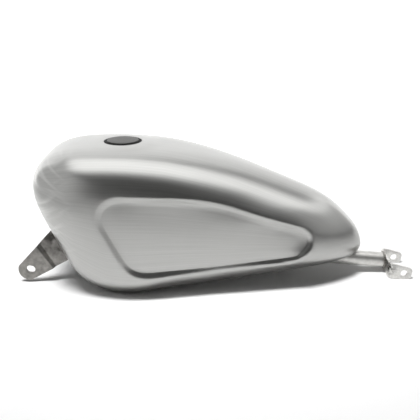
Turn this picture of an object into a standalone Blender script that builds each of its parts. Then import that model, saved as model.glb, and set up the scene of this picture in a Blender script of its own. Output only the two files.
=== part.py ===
"""Raw steel motorcycle fuel tank: dished sides, a pop-up screw cap and welded frame mounts.

Sizes are in millimetres and become metres where a mesh is made. +X runs to the tail, +Y to the
rider's right and +Z up. The origin is on the ground, midway between the ends of the two mounts.
"""
import math

import bmesh
import bpy
import numpy as np
from mathutils import Matrix, Vector

MM = 0.001
TURN = 2 * math.pi

# Sheet metal and the clearances between pieces
SHEET = 1.4
SEAT_GAP = 0.3

# Body: the side profile at mid width, and how full the body is towards each end of it
SIDE_PROFILE = (
    (206, 104), (183, 125), (131, 153), (60, 182), (-12, 204.5), (-80, 217), (-144, 221), (-200, 220),
    (-250, 210), (-275, 187), (-277, 148), (-266, 117), (-248, 75), (-216, 18), (-163, -9), (-98, -10),
    (0, -9), (92, 0), (186, 19), (233, 40), (233.5, 62), (223, 84),
)
BODY_CENTRE = (-70, 100)
BODY_HALF_WIDTH = 120
TAIL_FULLNESS = 1.7
TOP_FULLNESS = 3.1
NOSE_FULLNESS = 3.8
BELLY_FULLNESS = 2.5

# Dished side panel: corner points of its outline with their radii
PANEL_CORNERS = (
    (-198, 171, 34), (-20, 165, 330), (161, 90, 17), (125, 47, 28), (-131, 34, 44),
)
PANEL_DEPTH = 3.6
PANEL_WALL = 12
PANEL_SETTLE = 6
PANEL_INSET = 9
PANEL_MIDDLE = BODY_HALF_WIDTH - PANEL_INSET

# Floor plates: a plane that rises towards the tail
FLOOR_START_X = -188
FLOOR_PITCH = math.radians(5.25)

# Tunnel for the frame's backbone, open below, its roof falling towards the tail
TUNNEL_HALF_WIDTH = 34
TUNNEL_CORNER_RADIUS = 16
TUNNEL_ROOF_HEIGHT = 55.3
TUNNEL_PITCH = math.radians(4.5)

# Front ear: a tapered plate left of the tunnel, joggled outwards, welded to the nose on edge
EAR_THICKNESS = 4.5
EAR_CLEARANCE = 0.6
EAR_JOGGLE = 5
EAR_JOGGLE_START = 31
EAR_JOGGLE_LENGTH = 5
EAR_AXIS_PITCH = math.radians(31)
EAR_END_CENTRE = (-298.4, 21.7)
EAR_END_RADIUS = 17.6
EAR_UPPER_ROOT = (-246, 102)
EAR_LOWER_ROOT = (-212, 50)
EAR_HOLE_CENTRE = (-296.3, 22.7)
EAR_HOLE_LENGTH = 14.3
EAR_HOLE_WIDTH = 12.2
EAR_HOLE_PITCH = math.radians(-10)

# Rear mount: a tube under the tail that carries a forked strap
TUBE_RADIUS = 12
TUBE_WALL = 2.5
TUBE_START_X = 110
FORK_FACE_X = 279
FORK_LENGTH = 37.7
FORK_HALF_WIDTH = 33.6
FORK_BASE = 0.6
FORK_THICKNESS = 4
FORK_BEND_RADIUS = 9
FORK_ROOT_HEIGHT = 25
FORK_END_HEIGHT = 17
FORK_END_LEAN = 2.5
FORK_CORNER_RADIUS = 6
FORK_HOLE_RADIUS = 5.5
FORK_HOLE_SETBACK = 14
FORK_HOLE_HEIGHT = 9.7

# Fuel outlet bung in the left floor, beside the tunnel
BUNG_X = -40
BUNG_INSET = 3.5
BUNG_RADIUS = 12.5
BUNG_BORE_RADIUS = 8
BUNG_BELOW_FLOOR = 5
BUNG_ABOVE_FLOOR = 9

# Filler neck: it stands proud of the body's crest, and is wider than the cap that sits in it
CAP_X = -146
NECK_RISE = 0.46
NECK_RIM_WIDTH = 3
NECK_SEAT_WIDTH = 6
NECK_DEPTH = 30
NECK_CHAMFER = 1

# Pop-up cap: heights are above the neck's upper rim
CAP_RADIUS = 29
CAP_RIM_RISE = 0.5
CAP_HEAD_DEPTH = 10.5
CAP_RIM_WIDTH = 4.2
CAP_RIM_CHAMFER = 0.8
CAP_CUP_DEPTH = 8.2
CAP_SHANK_DEPTH = 14
CAP_SHANK_WALL = 7.2
CAP_BOSS_DEPTH = 7
RING_INSET = 1
GASKET_THICKNESS = 1.8
WASHER_THICKNESS = 0.6
KNOB_RISE = 1.3
KNOB_CHAMFER = 0.7
KNOB_TRAVEL = 12
STEM_RADIUS = 4
STEM_GROOVE_DEPTH = 0.7
STEM_TAIL = 2
SEAL_WIRE_RADIUS = 0.75
CLIP_RADIUS = 7
CLIP_THICKNESS = 1
DRIVE_PIN_RADIUS = 2
DRIVE_PIN_SOCKET = 4
DRIVE_PIN_REACH = 15.5
VENT_STEM_RADIUS = 1.3
VENT_HEAD_RADIUS = 3.2
VENT_HEAD_DEPTH = 1.6
SPRING_RADIUS = 7
SPRING_WIRE_RADIUS = 0.5
SPRING_TURNS = 4

# Facets
SPOKES = 64
OUTER_RINGS = 9
ARC_STEP = math.radians(15)
ROUND_STEPS = 40
SMALL_STEPS = 20

for leftover in list(bpy.data.objects):
    bpy.data.objects.remove(leftover)
parts = bpy.data.collections.new("fuel_tank")
cutters = bpy.data.collections.new("cutters")
bpy.context.scene.collection.children.link(parts)
bpy.context.scene.collection.children.link(cutters)


# Materials

def material(name, colour, roughness, metallic):
    """A Principled material of one plain finish."""
    made = bpy.data.materials.new(name)
    made.use_nodes = True
    shader = made.node_tree.nodes["Principled BSDF"]
    shader.inputs["Base Color"].default_value = (*colour, 1)
    shader.inputs["Roughness"].default_value = roughness
    shader.inputs["Metallic"].default_value = metallic
    return made


BRUSHED_STEEL = material("brushed_steel", (0.62, 0.62, 0.61), 0.3, 1)
MILL_STEEL = material("mill_steel", (0.36, 0.35, 0.33), 0.5, 1)
MACHINED_STEEL = material("machined_steel", (0.55, 0.55, 0.55), 0.35, 1)
KNOB_GREY = material("knob_grey", (0.15, 0.15, 0.14), 0.5, 0.6)
RIM_BLACK = material("rim_black", (0.012, 0.012, 0.012), 0.45, 0)
SEAL_RUBBER = material("seal_rubber", (0.015, 0.015, 0.015), 0.8, 0)
SLIP_NYLON = material("slip_nylon", (0.75, 0.73, 0.66), 0.5, 0)
SPRING_STEEL = material("spring_steel", (0.5, 0.5, 0.5), 0.3, 1)


# Helpers

def add_object(name, mesh, collection, finish=None, matrix=None):
    """Wrap a mesh in a named object; an object without a finish is a cutter."""
    made = bpy.data.objects.new(name, mesh)
    collection.objects.link(made)
    if matrix is not None:
        made.matrix_world = matrix
    if finish is None:
        made.hide_render = True
        made.display_type = 'WIRE'
    else:
        mesh.materials.append(finish)
    return made


def place(x=0.0, y=0.0, z=0.0):
    """A move by millimetres."""
    return Matrix.Translation(Vector((x, y, z)) * MM)


def boolean(target, operation, tool):
    """Add an exact Boolean with another object."""
    cut = target.modifiers.new(operation.lower() + "_" + tool.name, 'BOOLEAN')
    cut.operation = operation
    cut.object = tool
    cut.solver = 'EXACT'


def box(name, low, high, matrix=None):
    """A cutter box between two corners, in millimetres."""
    low = Vector(low) * MM
    high = Vector(high) * MM
    mesh = bpy.data.meshes.new(name)
    shape = bmesh.new()
    bmesh.ops.create_cube(shape, size=1)
    bmesh.ops.scale(shape, verts=shape.verts, vec=high - low)
    bmesh.ops.translate(shape, verts=shape.verts, vec=(low + high) / 2)
    shape.to_mesh(mesh)
    shape.free()
    return add_object(name, mesh, cutters, matrix=matrix)


def rod(name, radius, low, high, matrix, finish=None, steps=SMALL_STEPS):
    """A round bar along its own Z axis; a cutter unless it has a finish."""
    mesh = bpy.data.meshes.new(name)
    shape = bmesh.new()
    bmesh.ops.create_cone(shape, cap_ends=True, segments=steps, radius1=radius * MM,
                          radius2=radius * MM, depth=(high - low) * MM)
    bmesh.ops.translate(shape, verts=shape.verts, vec=Vector((0, 0, (low + high) / 2)) * MM)
    shape.to_mesh(mesh)
    shape.free()
    return add_object(name, mesh, parts if finish else cutters, finish, matrix)


def turned(name, profile, closed, matrix, finish, steps=ROUND_STEPS):
    """Spin a profile of (radius, height) points, outer side running down, about its Z axis."""
    mesh = bpy.data.meshes.new(name)
    count = len(profile)
    edges = [(i, i + 1) for i in range(count - 1)]
    if closed:
        edges.append((count - 1, 0))
    mesh.from_pydata([(r * MM, 0, h * MM) for r, h in profile], edges, [])
    made = add_object(name, mesh, parts, finish, matrix)
    spin = made.modifiers.new("spin", 'SCREW')
    spin.axis = 'Z'
    spin.angle = TURN
    spin.steps = steps
    spin.render_steps = steps
    spin.use_merge_vertices = True
    spin.merge_threshold = 0.00001
    return made


def plate(name, outlines, low, high, matrix, finish=None):
    """Extrude flat closed outlines from low to high along Z; inner outlines are holes."""
    curve = bpy.data.curves.new(name + "_outline", 'CURVE')
    curve.dimensions = '2D'
    curve.fill_mode = 'BOTH'
    curve.extrude = (high - low) / 2 * MM
    for outline in outlines:
        spline = curve.splines.new('POLY')
        spline.points.add(len(outline) - 1)
        spline.use_cyclic_u = True
        for point, (u, v) in zip(spline.points, outline):
            point.co = (u * MM, v * MM, 0, 1)
    sketch = bpy.data.objects.new(name + "_sketch", curve)
    cutters.objects.link(sketch)
    bpy.context.view_layer.update()
    mesh = bpy.data.meshes.new_from_object(sketch.evaluated_get(bpy.context.evaluated_depsgraph_get()))
    bpy.data.objects.remove(sketch)
    shape = bmesh.new()
    shape.from_mesh(mesh)
    bmesh.ops.remove_doubles(shape, verts=shape.verts, dist=0.000001)
    bmesh.ops.translate(shape, verts=shape.verts, vec=(0, 0, (low + high) / 2 * MM))
    bmesh.ops.recalc_face_normals(shape, faces=shape.faces)
    shape.to_mesh(mesh)
    shape.free()
    mesh.name = name
    mesh.materials.clear()
    return add_object(name, mesh, parts if finish else cutters, finish, matrix)


def arc(centre, radius, start, stop, step=ARC_STEP):
    """Points on an arc between two angles, both ends included."""
    count = max(1, math.ceil(abs(stop - start) / step - 1e-6))
    turn = [start + (stop - start) * i / count for i in range(count + 1)]
    return [(centre[0] + radius * math.cos(a), centre[1] + radius * math.sin(a)) for a in turn]


def rounded(corners, step=ARC_STEP):
    """A closed outline through (u, v, radius) corners, each turned by an arc of its radius."""
    points = []
    for i, (u, v, radius) in enumerate(corners):
        here = Vector((u, v))
        back = (Vector(corners[i - 1][:2]) - here).normalized()
        ahead = (Vector(corners[(i + 1) % len(corners)][:2]) - here).normalized()
        half = back.angle(ahead) / 2
        centre = here + (back + ahead).normalized() * (radius / math.sin(half))
        first = here + back * (radius / math.tan(half)) - centre
        last = here + ahead * (radius / math.tan(half)) - centre
        start = math.atan2(first.y, first.x)
        sweep = (math.atan2(last.y, last.x) - start + math.pi) % TURN - math.pi
        points += arc(centre, radius, start, start + sweep, step)
    return points


# Body surface: each half is a pillow over the side profile, written about the body's centre

def polar(points):
    """Angles and reaches of side-view points about the body's centre, by rising angle."""
    offset = np.array(points, float) - BODY_CENTRE
    angle = np.arctan2(offset[:, 1], offset[:, 0]) % TURN
    order = np.argsort(angle)
    return angle[order], np.hypot(offset[:, 0], offset[:, 1])[order]


def closed_spline(knots, values, query):
    """Smooth periodic curve through values at rising angles."""
    values = np.asarray(values, float)
    after = np.diff(np.append(knots, knots[0] + TURN))
    before = np.roll(after, 1)
    count = len(knots)
    system = np.diag(2 * (before + after))
    for i in range(count):
        system[i, i - 1] += before[i]
        system[i, (i + 1) % count] += after[i]
    rise = (np.roll(values, -1) - values) / after
    bend = np.linalg.solve(system, 6 * (rise - np.roll(rise, 1)))
    query = (np.asarray(query, float) - knots[0]) % TURN + knots[0]
    k = np.searchsorted(knots, query, side='right') - 1
    nxt = (k + 1) % count
    span = after[k]
    b = (query - knots[k]) / span
    a = 1 - b
    sag = ((a ** 3 - a) * bend[k] + (b ** 3 - b) * bend[nxt]) * span ** 2 / 6
    return a * values[k] + b * values[nxt] + sag


def profile_reach(angle):
    """Distance from the body's centre to its side profile."""
    knots, reaches = polar(SIDE_PROFILE)
    return closed_spline(knots, reaches, angle)


def panel_outline():
    """The panel's rim as a dense closed outline, and the same line at the foot of its wall."""
    coarse = np.array(rounded(PANEL_CORNERS, ARC_STEP / 4))
    rim = []
    for here, there in zip(coarse, np.roll(coarse, -1, axis=0)):
        count = max(1, int(np.linalg.norm(there - here) / 3))
        rim += [here + (there - here) * i / count for i in range(count)]
    rim = np.array(rim)
    along = np.roll(rim, -1, axis=0) - np.roll(rim, 1, axis=0)
    along /= np.linalg.norm(along, axis=1, keepdims=True)
    inward = np.stack([along[:, 1], -along[:, 0]], axis=1)
    return rim, rim + inward * PANEL_WALL


def panel_reach(outline, angle):
    """Distance from the body's centre to one of the panel's outlines."""
    knots, reaches = polar(outline)
    return np.interp(angle, knots, reaches, period=TURN)


def fullness(angle):
    """How square the body's section is in a direction about its centre."""
    quarters = np.arange(4) * TURN / 4
    return closed_spline(quarters, (TAIL_FULLNESS, TOP_FULLNESS, NOSE_FULLNESS, BELLY_FULLNESS), angle)


def pillow_width(angle, share):
    """Half width of the plain body; share runs from 0 at its centre to 1 on its profile."""
    square = fullness(angle)
    return BODY_HALF_WIDTH * (1 - share ** square) ** (1 / square)


def side_point(angle, reach):
    """X and Z of a point given by its direction and distance from the body's centre."""
    return BODY_CENTRE[0] + reach * np.cos(angle), BODY_CENTRE[1] + reach * np.sin(angle)


def curved_terms(x, z):
    """Terms of a gently curved sheet over the side view."""
    u = (x - BODY_CENTRE[0]) / BODY_HALF_WIDTH
    v = (z - BODY_CENTRE[1]) / BODY_HALF_WIDTH
    return np.stack([np.ones_like(u), u, v, u * u, u * v, v * v], axis=-1)


def panel_sheet():
    """The gently crowned sheet through the panel's middle that lies nearest to its rim."""
    knots, reaches = polar(PANEL_RIM)
    width = pillow_width(knots, reaches / profile_reach(knots))
    terms = curved_terms(*side_point(knots, reaches))
    slopes = np.linalg.lstsq(terms[:, 1:], width - PANEL_MIDDLE, rcond=None)[0]
    return np.append(PANEL_MIDDLE, slopes)


PANEL_RIM, PANEL_FOOT = panel_outline()
PANEL_SHEET = panel_sheet()


def body_points(angle, share):
    """Points of the right half: the plain body, with the panel's curved sheet sunk into it."""
    whole = profile_reach(angle)
    reach = share * whole
    rim = panel_reach(PANEL_RIM, angle)
    foot = panel_reach(PANEL_FOOT, angle)
    sink = np.clip((rim - reach) / (rim - foot), 0, 1)
    x, z = side_point(angle, reach)
    plain = pillow_width(angle, share)
    lift = pillow_width(angle, rim / whole) - curved_terms(*side_point(angle, rim)) @ PANEL_SHEET
    dish = curved_terms(x, z) @ PANEL_SHEET + lift * (reach / rim) ** PANEL_SETTLE - PANEL_DEPTH
    y = plain + (dish - plain) * sink ** 2 * (3 - 2 * sink)
    return np.stack([x, y, z], axis=-1)


def crest(x):
    """Height of the body's upper profile at a place along it."""
    angle = np.linspace(TURN / 2, 0, 1441)
    along, height = side_point(angle, profile_reach(angle))
    return float(np.interp(x, along, height))


def spoke_angles():
    """Angles spaced evenly along the profile and the panel's rim together."""
    fine = np.linspace(0, TURN, 1441)
    spacing = np.zeros(1440)
    for reach in (profile_reach(fine), panel_reach(PANEL_RIM, fine)):
        step = np.hypot(np.diff(reach * np.cos(fine)), np.diff(reach * np.sin(fine)))
        spacing += step / step.sum() / 2
    return np.interp(np.arange(SPOKES) / SPOKES, np.append(0, np.cumsum(spacing)), fine)


def body_mesh():
    """Half of the closed body, from the panel's middle out to the profile."""
    angle = spoke_angles()
    reach = profile_reach(angle)
    rim = panel_reach(PANEL_RIM, angle) / reach
    foot = panel_reach(PANEL_FOOT, angle) / reach
    rings = [foot * 0.5, foot, foot + (rim - foot) / 3, foot + (rim - foot) * 2 / 3, rim]
    square = fullness(angle)
    first = np.arcsin(rim ** (square / 2))
    for i in range(1, OUTER_RINGS + 1):
        tilt = first + (TURN / 4 - first) * i / OUTER_RINGS
        rings.append(np.minimum(np.sin(tilt) ** (2 / square), 1))
    shape = bmesh.new()
    middle = shape.verts.new(body_points(np.zeros(1), np.zeros(1))[0] * MM)
    inner = None
    for ring in rings:
        outer = [shape.verts.new(point * MM) for point in body_points(angle, ring)]
        for i in range(SPOKES):
            j = (i + 1) % SPOKES
            if inner is None:
                shape.faces.new((middle, outer[j], outer[i]))
            else:
                shape.faces.new((inner[i], inner[j], outer[j], outer[i]))
        inner = outer
    mesh = bpy.data.meshes.new("body_half")
    shape.to_mesh(mesh)
    shape.free()
    mesh.shade_smooth()
    return mesh


def mirror_across(target):
    """Complete a half body across the tank's middle plane."""
    both = target.modifiers.new("both_sides", 'MIRROR')
    both.use_axis = (False, True, False)
    both.merge_threshold = 0.00001


def envelope(name, grow):
    """The closed body as a cutter, grown or shrunk along its normals."""
    made = add_object(name, body_half.copy(), cutters)
    mirror_across(made)
    swell = made.modifiers.new("swell", 'DISPLACE')
    swell.strength = grow * MM
    swell.mid_level = 0
    return made


# Frames and cutters that several pieces share

NECK_RADIUS = CAP_RADIUS + NECK_RIM_WIDTH
NECK_TOP = crest(CAP_X) + NECK_RISE
FLOOR_FRAME = place(FLOOR_START_X) @ Matrix.Rotation(-FLOOR_PITCH, 4, 'Y')
TUNNEL_FRAME = place(z=TUNNEL_ROOF_HEIGHT) @ Matrix.Rotation(TUNNEL_PITCH, 4, 'Y')
CAP_FRAME = place(CAP_X, 0, NECK_TOP)
ALONG_X = Matrix.Rotation(TURN / 4, 4, 'Z') @ Matrix.Rotation(TURN / 4, 4, 'X')
SIDE_VIEW = Matrix.Rotation(TURN / 4, 4, 'X')
ROOM = 400

body_half = body_mesh()
body_skin = envelope("body_outside", 0)
body_inside = envelope("body_inside", -SHEET - SEAT_GAP)
body_clear = envelope("body_clearance", SEAT_GAP)
below_floor = box("below_floor", (-ROOM, -ROOM, -ROOM), (ROOM * 2, ROOM, 0), FLOOR_FRAME)
left_side = box("left_side", (-ROOM, -ROOM, -ROOM), (ROOM, -SEAT_GAP / 2, ROOM))
right_side = box("right_side", (-ROOM, SEAT_GAP / 2, -ROOM), (ROOM, ROOM, ROOM))
neck_hole = rod("neck_hole", NECK_RADIUS + SEAT_GAP, -NECK_DEPTH, NECK_DEPTH, CAP_FRAME, steps=ROUND_STEPS)


def arch(half_width, radius, roof):
    """The tunnel's upper edge in its own section, from the left foot over to the right foot."""
    left = arc((-half_width + radius, roof - radius), radius, TURN / 2, TURN / 4)
    right = arc((half_width - radius, roof - radius), radius, TURN / 4, 0)
    return [(-half_width, -ROOM / 2), *left, *right, (half_width, -ROOM / 2)]


tunnel_space = plate(
    "tunnel_space",
    [arch(TUNNEL_HALF_WIDTH + SEAT_GAP, TUNNEL_CORNER_RADIUS + SEAT_GAP, SEAT_GAP)],
    -ROOM, ROOM, TUNNEL_FRAME @ ALONG_X,
)


# Tank shell

def skin(name, side):
    """One stamped half of the outer shell."""
    made = add_object(name, body_half.copy(), parts, BRUSHED_STEEL)
    mirror_across(made)
    shell = made.modifiers.new("sheet", 'SOLIDIFY')
    shell.thickness = SHEET * MM
    shell.offset = -1
    shell.use_even_offset = True
    boolean(made, 'DIFFERENCE', below_floor)
    boolean(made, 'DIFFERENCE', tunnel_space)
    boolean(made, 'DIFFERENCE', neck_hole)
    boolean(made, 'INTERSECT', side)
    return made


def tunnel():
    """Folded channel along the middle, its ends trimmed to the body."""
    outer = arch(TUNNEL_HALF_WIDTH, TUNNEL_CORNER_RADIUS, 0)
    inner = arch(TUNNEL_HALF_WIDTH - SHEET, TUNNEL_CORNER_RADIUS - SHEET, -SHEET)
    made = plate("tunnel", [outer + inner[::-1]], -ROOM, ROOM, TUNNEL_FRAME @ ALONG_X, BRUSHED_STEEL)
    boolean(made, 'INTERSECT', body_skin)
    boolean(made, 'DIFFERENCE', below_floor)
    return made


def floor_plate(name, side):
    """Flat plate between the tunnel and one skin, ending where the tunnel's roof closes the tail."""
    rear = max(x for x, z in SIDE_PROFILE) - TUNNEL_CORNER_RADIUS - FLOOR_START_X
    made = box(name, (-ROOM, -ROOM, 0), (rear, ROOM, SHEET), FLOOR_FRAME)
    cutters.objects.unlink(made)
    parts.objects.link(made)
    made.hide_render = False
    made.display_type = 'TEXTURED'
    made.data.materials.append(BRUSHED_STEEL)
    boolean(made, 'INTERSECT', body_inside)
    boolean(made, 'DIFFERENCE', tunnel_space)
    boolean(made, 'INTERSECT', side)
    return made


def petcock_bung(floor):
    """Threaded boss for the fuel tap, set through a hole in the floor plate."""
    height = (BUNG_X - FLOOR_START_X) * math.tan(FLOOR_PITCH)
    frame = place(BUNG_X, -TUNNEL_HALF_WIDTH - BUNG_INSET - BUNG_RADIUS, height)
    hole = rod("bung_hole", BUNG_RADIUS + SEAT_GAP, -ROOM / 8, ROOM / 8, frame, steps=SMALL_STEPS * 2)
    boolean(floor, 'DIFFERENCE', hole)
    profile = [
        (BUNG_RADIUS, BUNG_ABOVE_FLOOR), (BUNG_RADIUS, -BUNG_BELOW_FLOOR),
        (BUNG_BORE_RADIUS, -BUNG_BELOW_FLOOR), (BUNG_BORE_RADIUS, BUNG_ABOVE_FLOOR),
    ]
    return turned("petcock_bung", profile, True, frame, MACHINED_STEEL, SMALL_STEPS * 2)


# Frame mounts

def ear_outline():
    """Side view of the front ear: a round end, and straight edges that run into the nose."""
    end = Vector(EAR_END_CENTRE)
    outline = []
    for root, sign in ((EAR_LOWER_ROOT, 1), (EAR_UPPER_ROOT, -1)):
        away = end - Vector(root)
        lean = math.asin(EAR_END_RADIUS / away.length)
        outline.append(math.atan2(away.y, away.x) + sign * (TURN / 4 - lean))
    start, stop = outline
    sweep = (stop - start) % TURN - TURN
    return [EAR_LOWER_ROOT, *arc(EAR_END_CENTRE, EAR_END_RADIUS, start, start + sweep), EAR_UPPER_ROOT]


def slot_outline():
    """The ear's oblong bolt hole."""
    reach = (EAR_HOLE_LENGTH - EAR_HOLE_WIDTH) / 2
    along = Vector((math.cos(EAR_HOLE_PITCH), math.sin(EAR_HOLE_PITCH))) * reach
    centre = Vector(EAR_HOLE_CENTRE)
    quarter = EAR_HOLE_PITCH + TURN / 4
    far = arc(centre + along, EAR_HOLE_WIDTH / 2, quarter, quarter - TURN / 2, ARC_STEP * 2)
    near = arc(centre - along, EAR_HOLE_WIDTH / 2, quarter - TURN / 2, quarter - TURN, ARC_STEP * 2)
    return far + near


def front_ear():
    """Joggled ear plate on the left of the tunnel's mouth; the side view's own +Z points left."""
    frame = place(y=-TUNNEL_HALF_WIDTH - EAR_CLEARANCE) @ SIDE_VIEW
    made = plate("front_ear", [ear_outline(), slot_outline()], 0, EAR_THICKNESS, frame, MILL_STEEL)
    along = Vector((math.cos(EAR_AXIS_PITCH), math.sin(EAR_AXIS_PITCH), 0))
    hole = Vector((*EAR_HOLE_CENTRE, 0))
    shape = bmesh.new()
    shape.from_mesh(made.data)
    for distance in (EAR_JOGGLE_START, EAR_JOGGLE_START + EAR_JOGGLE_LENGTH):
        bmesh.ops.bisect_plane(shape, geom=shape.verts[:] + shape.edges[:] + shape.faces[:],
                               plane_co=(hole + along * distance) * MM, plane_no=along)
    for vert in shape.verts:
        distance = (vert.co / MM - hole).dot(along)
        share = (EAR_JOGGLE_START + EAR_JOGGLE_LENGTH - distance) / EAR_JOGGLE_LENGTH
        vert.co.z += EAR_JOGGLE * MM * min(max(share, 0), 1)
    shape.to_mesh(made.data)
    shape.free()
    boolean(made, 'DIFFERENCE', body_clear)
    return made


def rear_tube():
    """Tube welded under the tunnel's roof, its rear end cut to the fork's web."""
    drop = SHEET + SEAT_GAP + TUBE_RADIUS
    length = (FORK_FACE_X - TUBE_START_X) / math.cos(TUNNEL_PITCH) + TUBE_RADIUS
    frame = TUNNEL_FRAME @ place(TUBE_START_X / math.cos(TUNNEL_PITCH), 0, -drop)
    bore = TUBE_RADIUS - TUBE_WALL
    profile = [(TUBE_RADIUS, length), (TUBE_RADIUS, 0), (bore, 0), (bore, length)]
    spin = Matrix.Rotation(TURN / 4, 4, 'Y')
    made = turned("rear_tube", profile, True, frame @ spin, MILL_STEEL, SMALL_STEPS + 4)
    behind = box("behind_tube", (FORK_FACE_X - SEAT_GAP, -ROOM, -ROOM), (ROOM * 2, ROOM, ROOM))
    boolean(made, 'DIFFERENCE', behind)
    return made


def rear_fork():
    """Strap bent to a U behind the tube, its two ears tapered and drilled across."""
    bend = FORK_BEND_RADIUS
    inside = bend - FORK_THICKNESS
    edge = FORK_HALF_WIDTH
    face = FORK_FACE_X
    end = FORK_FACE_X + FORK_LENGTH
    step = ARC_STEP * 1.5
    strap = [
        (end, -edge), *arc((face + bend, -edge + bend), bend, -TURN / 4, -TURN / 2, step),
        *arc((face + bend, edge - bend), bend, TURN / 2, TURN / 4, step), (end, edge),
        (end, edge - FORK_THICKNESS), *arc((face + bend, edge - bend), inside, TURN / 4, TURN / 2, step),
        *arc((face + bend, -edge + bend), inside, -TURN / 2, -TURN / 4, step), (end, -edge + FORK_THICKNESS),
    ]
    made = plate("rear_fork", [strap], FORK_BASE, FORK_ROOT_HEIGHT * 1.5, Matrix.Identity(4), MILL_STEEL)
    taper = rounded([
        (face - bend, -bend, 1), (face - bend, FORK_ROOT_HEIGHT, 1), (face + bend, FORK_ROOT_HEIGHT, bend),
        (end, FORK_END_HEIGHT, FORK_CORNER_RADIUS), (end - FORK_END_LEAN, 0, 1), (end - bend, -bend, 1),
    ])
    side = plate("fork_side_view", [taper], -edge * 2, edge * 2, place(z=FORK_BASE) @ SIDE_VIEW)
    boolean(made, 'INTERSECT', side)
    frame = place(end - FORK_HOLE_SETBACK, 0, FORK_BASE + FORK_HOLE_HEIGHT) @ SIDE_VIEW
    boolean(made, 'DIFFERENCE', rod("fork_holes", FORK_HOLE_RADIUS, -edge * 2, edge * 2, frame))
    return made


# Filler neck and pop-up cap, all on one upright axis

KNOB_RADIUS = CAP_RADIUS - CAP_RIM_WIDTH - SEAT_GAP
HEAD_BOTTOM = CAP_RIM_RISE - CAP_HEAD_DEPTH
CUP_FLOOR = CAP_RIM_RISE - CAP_CUP_DEPTH
SHANK_BOTTOM = HEAD_BOTTOM - CAP_SHANK_DEPTH
BOSS_TOP = SHANK_BOTTOM + CAP_BOSS_DEPTH
NECK_BORE_RADIUS = CAP_RADIUS - NECK_SEAT_WIDTH
SHANK_RADIUS = NECK_BORE_RADIUS - SEAT_GAP
CAP_POCKET_RADIUS = SHANK_RADIUS - CAP_SHANK_WALL
DRIVE_PIN_OFFSET = SHANK_RADIUS - CAP_SHANK_WALL / 2
VENT_OFFSET = CLIP_RADIUS + SEAT_GAP + VENT_HEAD_RADIUS
RING_INNER = NECK_BORE_RADIUS + RING_INSET
RING_OUTER = CAP_RADIUS - SEAT_GAP
WASHER_TOP = HEAD_BOTTOM - SEAT_GAP
GASKET_TOP = WASHER_TOP - WASHER_THICKNESS - SEAT_GAP
NECK_SEAT = GASKET_TOP - GASKET_THICKNESS - SEAT_GAP
SEAL_RADIUS = STEM_RADIUS + SEAT_GAP + SEAL_WIRE_RADIUS
SEAL_GROOVE = SEAL_RADIUS + SEAL_WIRE_RADIUS + SEAT_GAP
SEAL_ROOM = SEAL_WIRE_RADIUS + SEAT_GAP
SEAL_HEIGHT = SHANK_BOTTOM + CAP_BOSS_DEPTH * 0.3
DETENT_HEIGHT = SHANK_BOTTOM + CAP_BOSS_DEPTH * 0.72
CLIP_TOP = SHANK_BOTTOM - KNOB_TRAVEL - SEAT_GAP
KNOB_BOTTOM = CUP_FLOOR + SEAT_GAP
KNOB_TOP = CAP_RIM_RISE + KNOB_RISE


def filler_neck():
    """Turned bung welded into the top, with a seat for the cap's gasket."""
    seat_radius = CAP_RADIUS + SEAT_GAP
    profile = [
        (NECK_RADIUS - NECK_CHAMFER, 0), (NECK_RADIUS, -NECK_CHAMFER), (NECK_RADIUS, -NECK_DEPTH),
        (NECK_BORE_RADIUS, -NECK_DEPTH),
        (NECK_BORE_RADIUS, NECK_SEAT), (seat_radius, NECK_SEAT), (seat_radius, 0),
    ]
    return turned("filler_neck", profile, True, CAP_FRAME, MACHINED_STEEL)


def washer(name, inner, outer, top, thickness, finish, steps=ROUND_STEPS):
    """A flat ring under the cap."""
    low = top - thickness
    return turned(name, [(outer, top), (outer, low), (inner, low), (inner, top)], True, CAP_FRAME, finish, steps)


def wire_ring(name, radius, wire, height, finish):
    """A ring of round section about the cap's axis."""
    section = arc((radius, height), wire, TURN / 4, TURN / 4 - TURN, TURN / 8)[:-1]
    return turned(name, section, True, CAP_FRAME, finish, SMALL_STEPS)


def off_axis(offset):
    """A frame beside the cap's axis."""
    return CAP_FRAME @ place(offset)


def cap_base():
    """Threaded cup that holds the knob: flush rim, shank and a boss that guides the stem."""
    bore = STEM_RADIUS + SEAT_GAP
    cup = KNOB_RADIUS + SEAT_GAP
    profile = [
        (CAP_RADIUS - CAP_RIM_CHAMFER, CAP_RIM_RISE), (CAP_RADIUS, CAP_RIM_RISE - CAP_RIM_CHAMFER),
        (CAP_RADIUS, HEAD_BOTTOM),
        (SHANK_RADIUS, HEAD_BOTTOM), (SHANK_RADIUS, SHANK_BOTTOM), (bore, SHANK_BOTTOM),
        (bore, SEAL_HEIGHT - SEAL_ROOM), (SEAL_GROOVE, SEAL_HEIGHT - SEAL_ROOM),
        (SEAL_GROOVE, SEAL_HEIGHT + SEAL_ROOM), (bore, SEAL_HEIGHT + SEAL_ROOM),
        (bore, DETENT_HEIGHT - SEAL_ROOM), (SEAL_GROOVE, DETENT_HEIGHT - SEAL_ROOM),
        (SEAL_GROOVE, DETENT_HEIGHT + SEAL_ROOM), (bore, DETENT_HEIGHT + SEAL_ROOM),
        (bore, BOSS_TOP), (CAP_POCKET_RADIUS, BOSS_TOP), (CAP_POCKET_RADIUS, CUP_FLOOR),
        (cup, CUP_FLOOR), (cup, CAP_RIM_RISE),
    ]
    made = turned("cap_base", profile, True, CAP_FRAME, RIM_BLACK)
    for side, offset in (("front", -DRIVE_PIN_OFFSET), ("rear", DRIVE_PIN_OFFSET)):
        hole = rod("drive_hole_" + side, DRIVE_PIN_RADIUS + SEAT_GAP, -ROOM / 8, ROOM / 8, off_axis(offset))
        boolean(made, 'DIFFERENCE', hole)
    vent = rod("vent_hole", VENT_STEM_RADIUS + SEAT_GAP, -ROOM / 8, ROOM / 8, off_axis(VENT_OFFSET))
    boolean(made, 'DIFFERENCE', vent)
    return made


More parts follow.
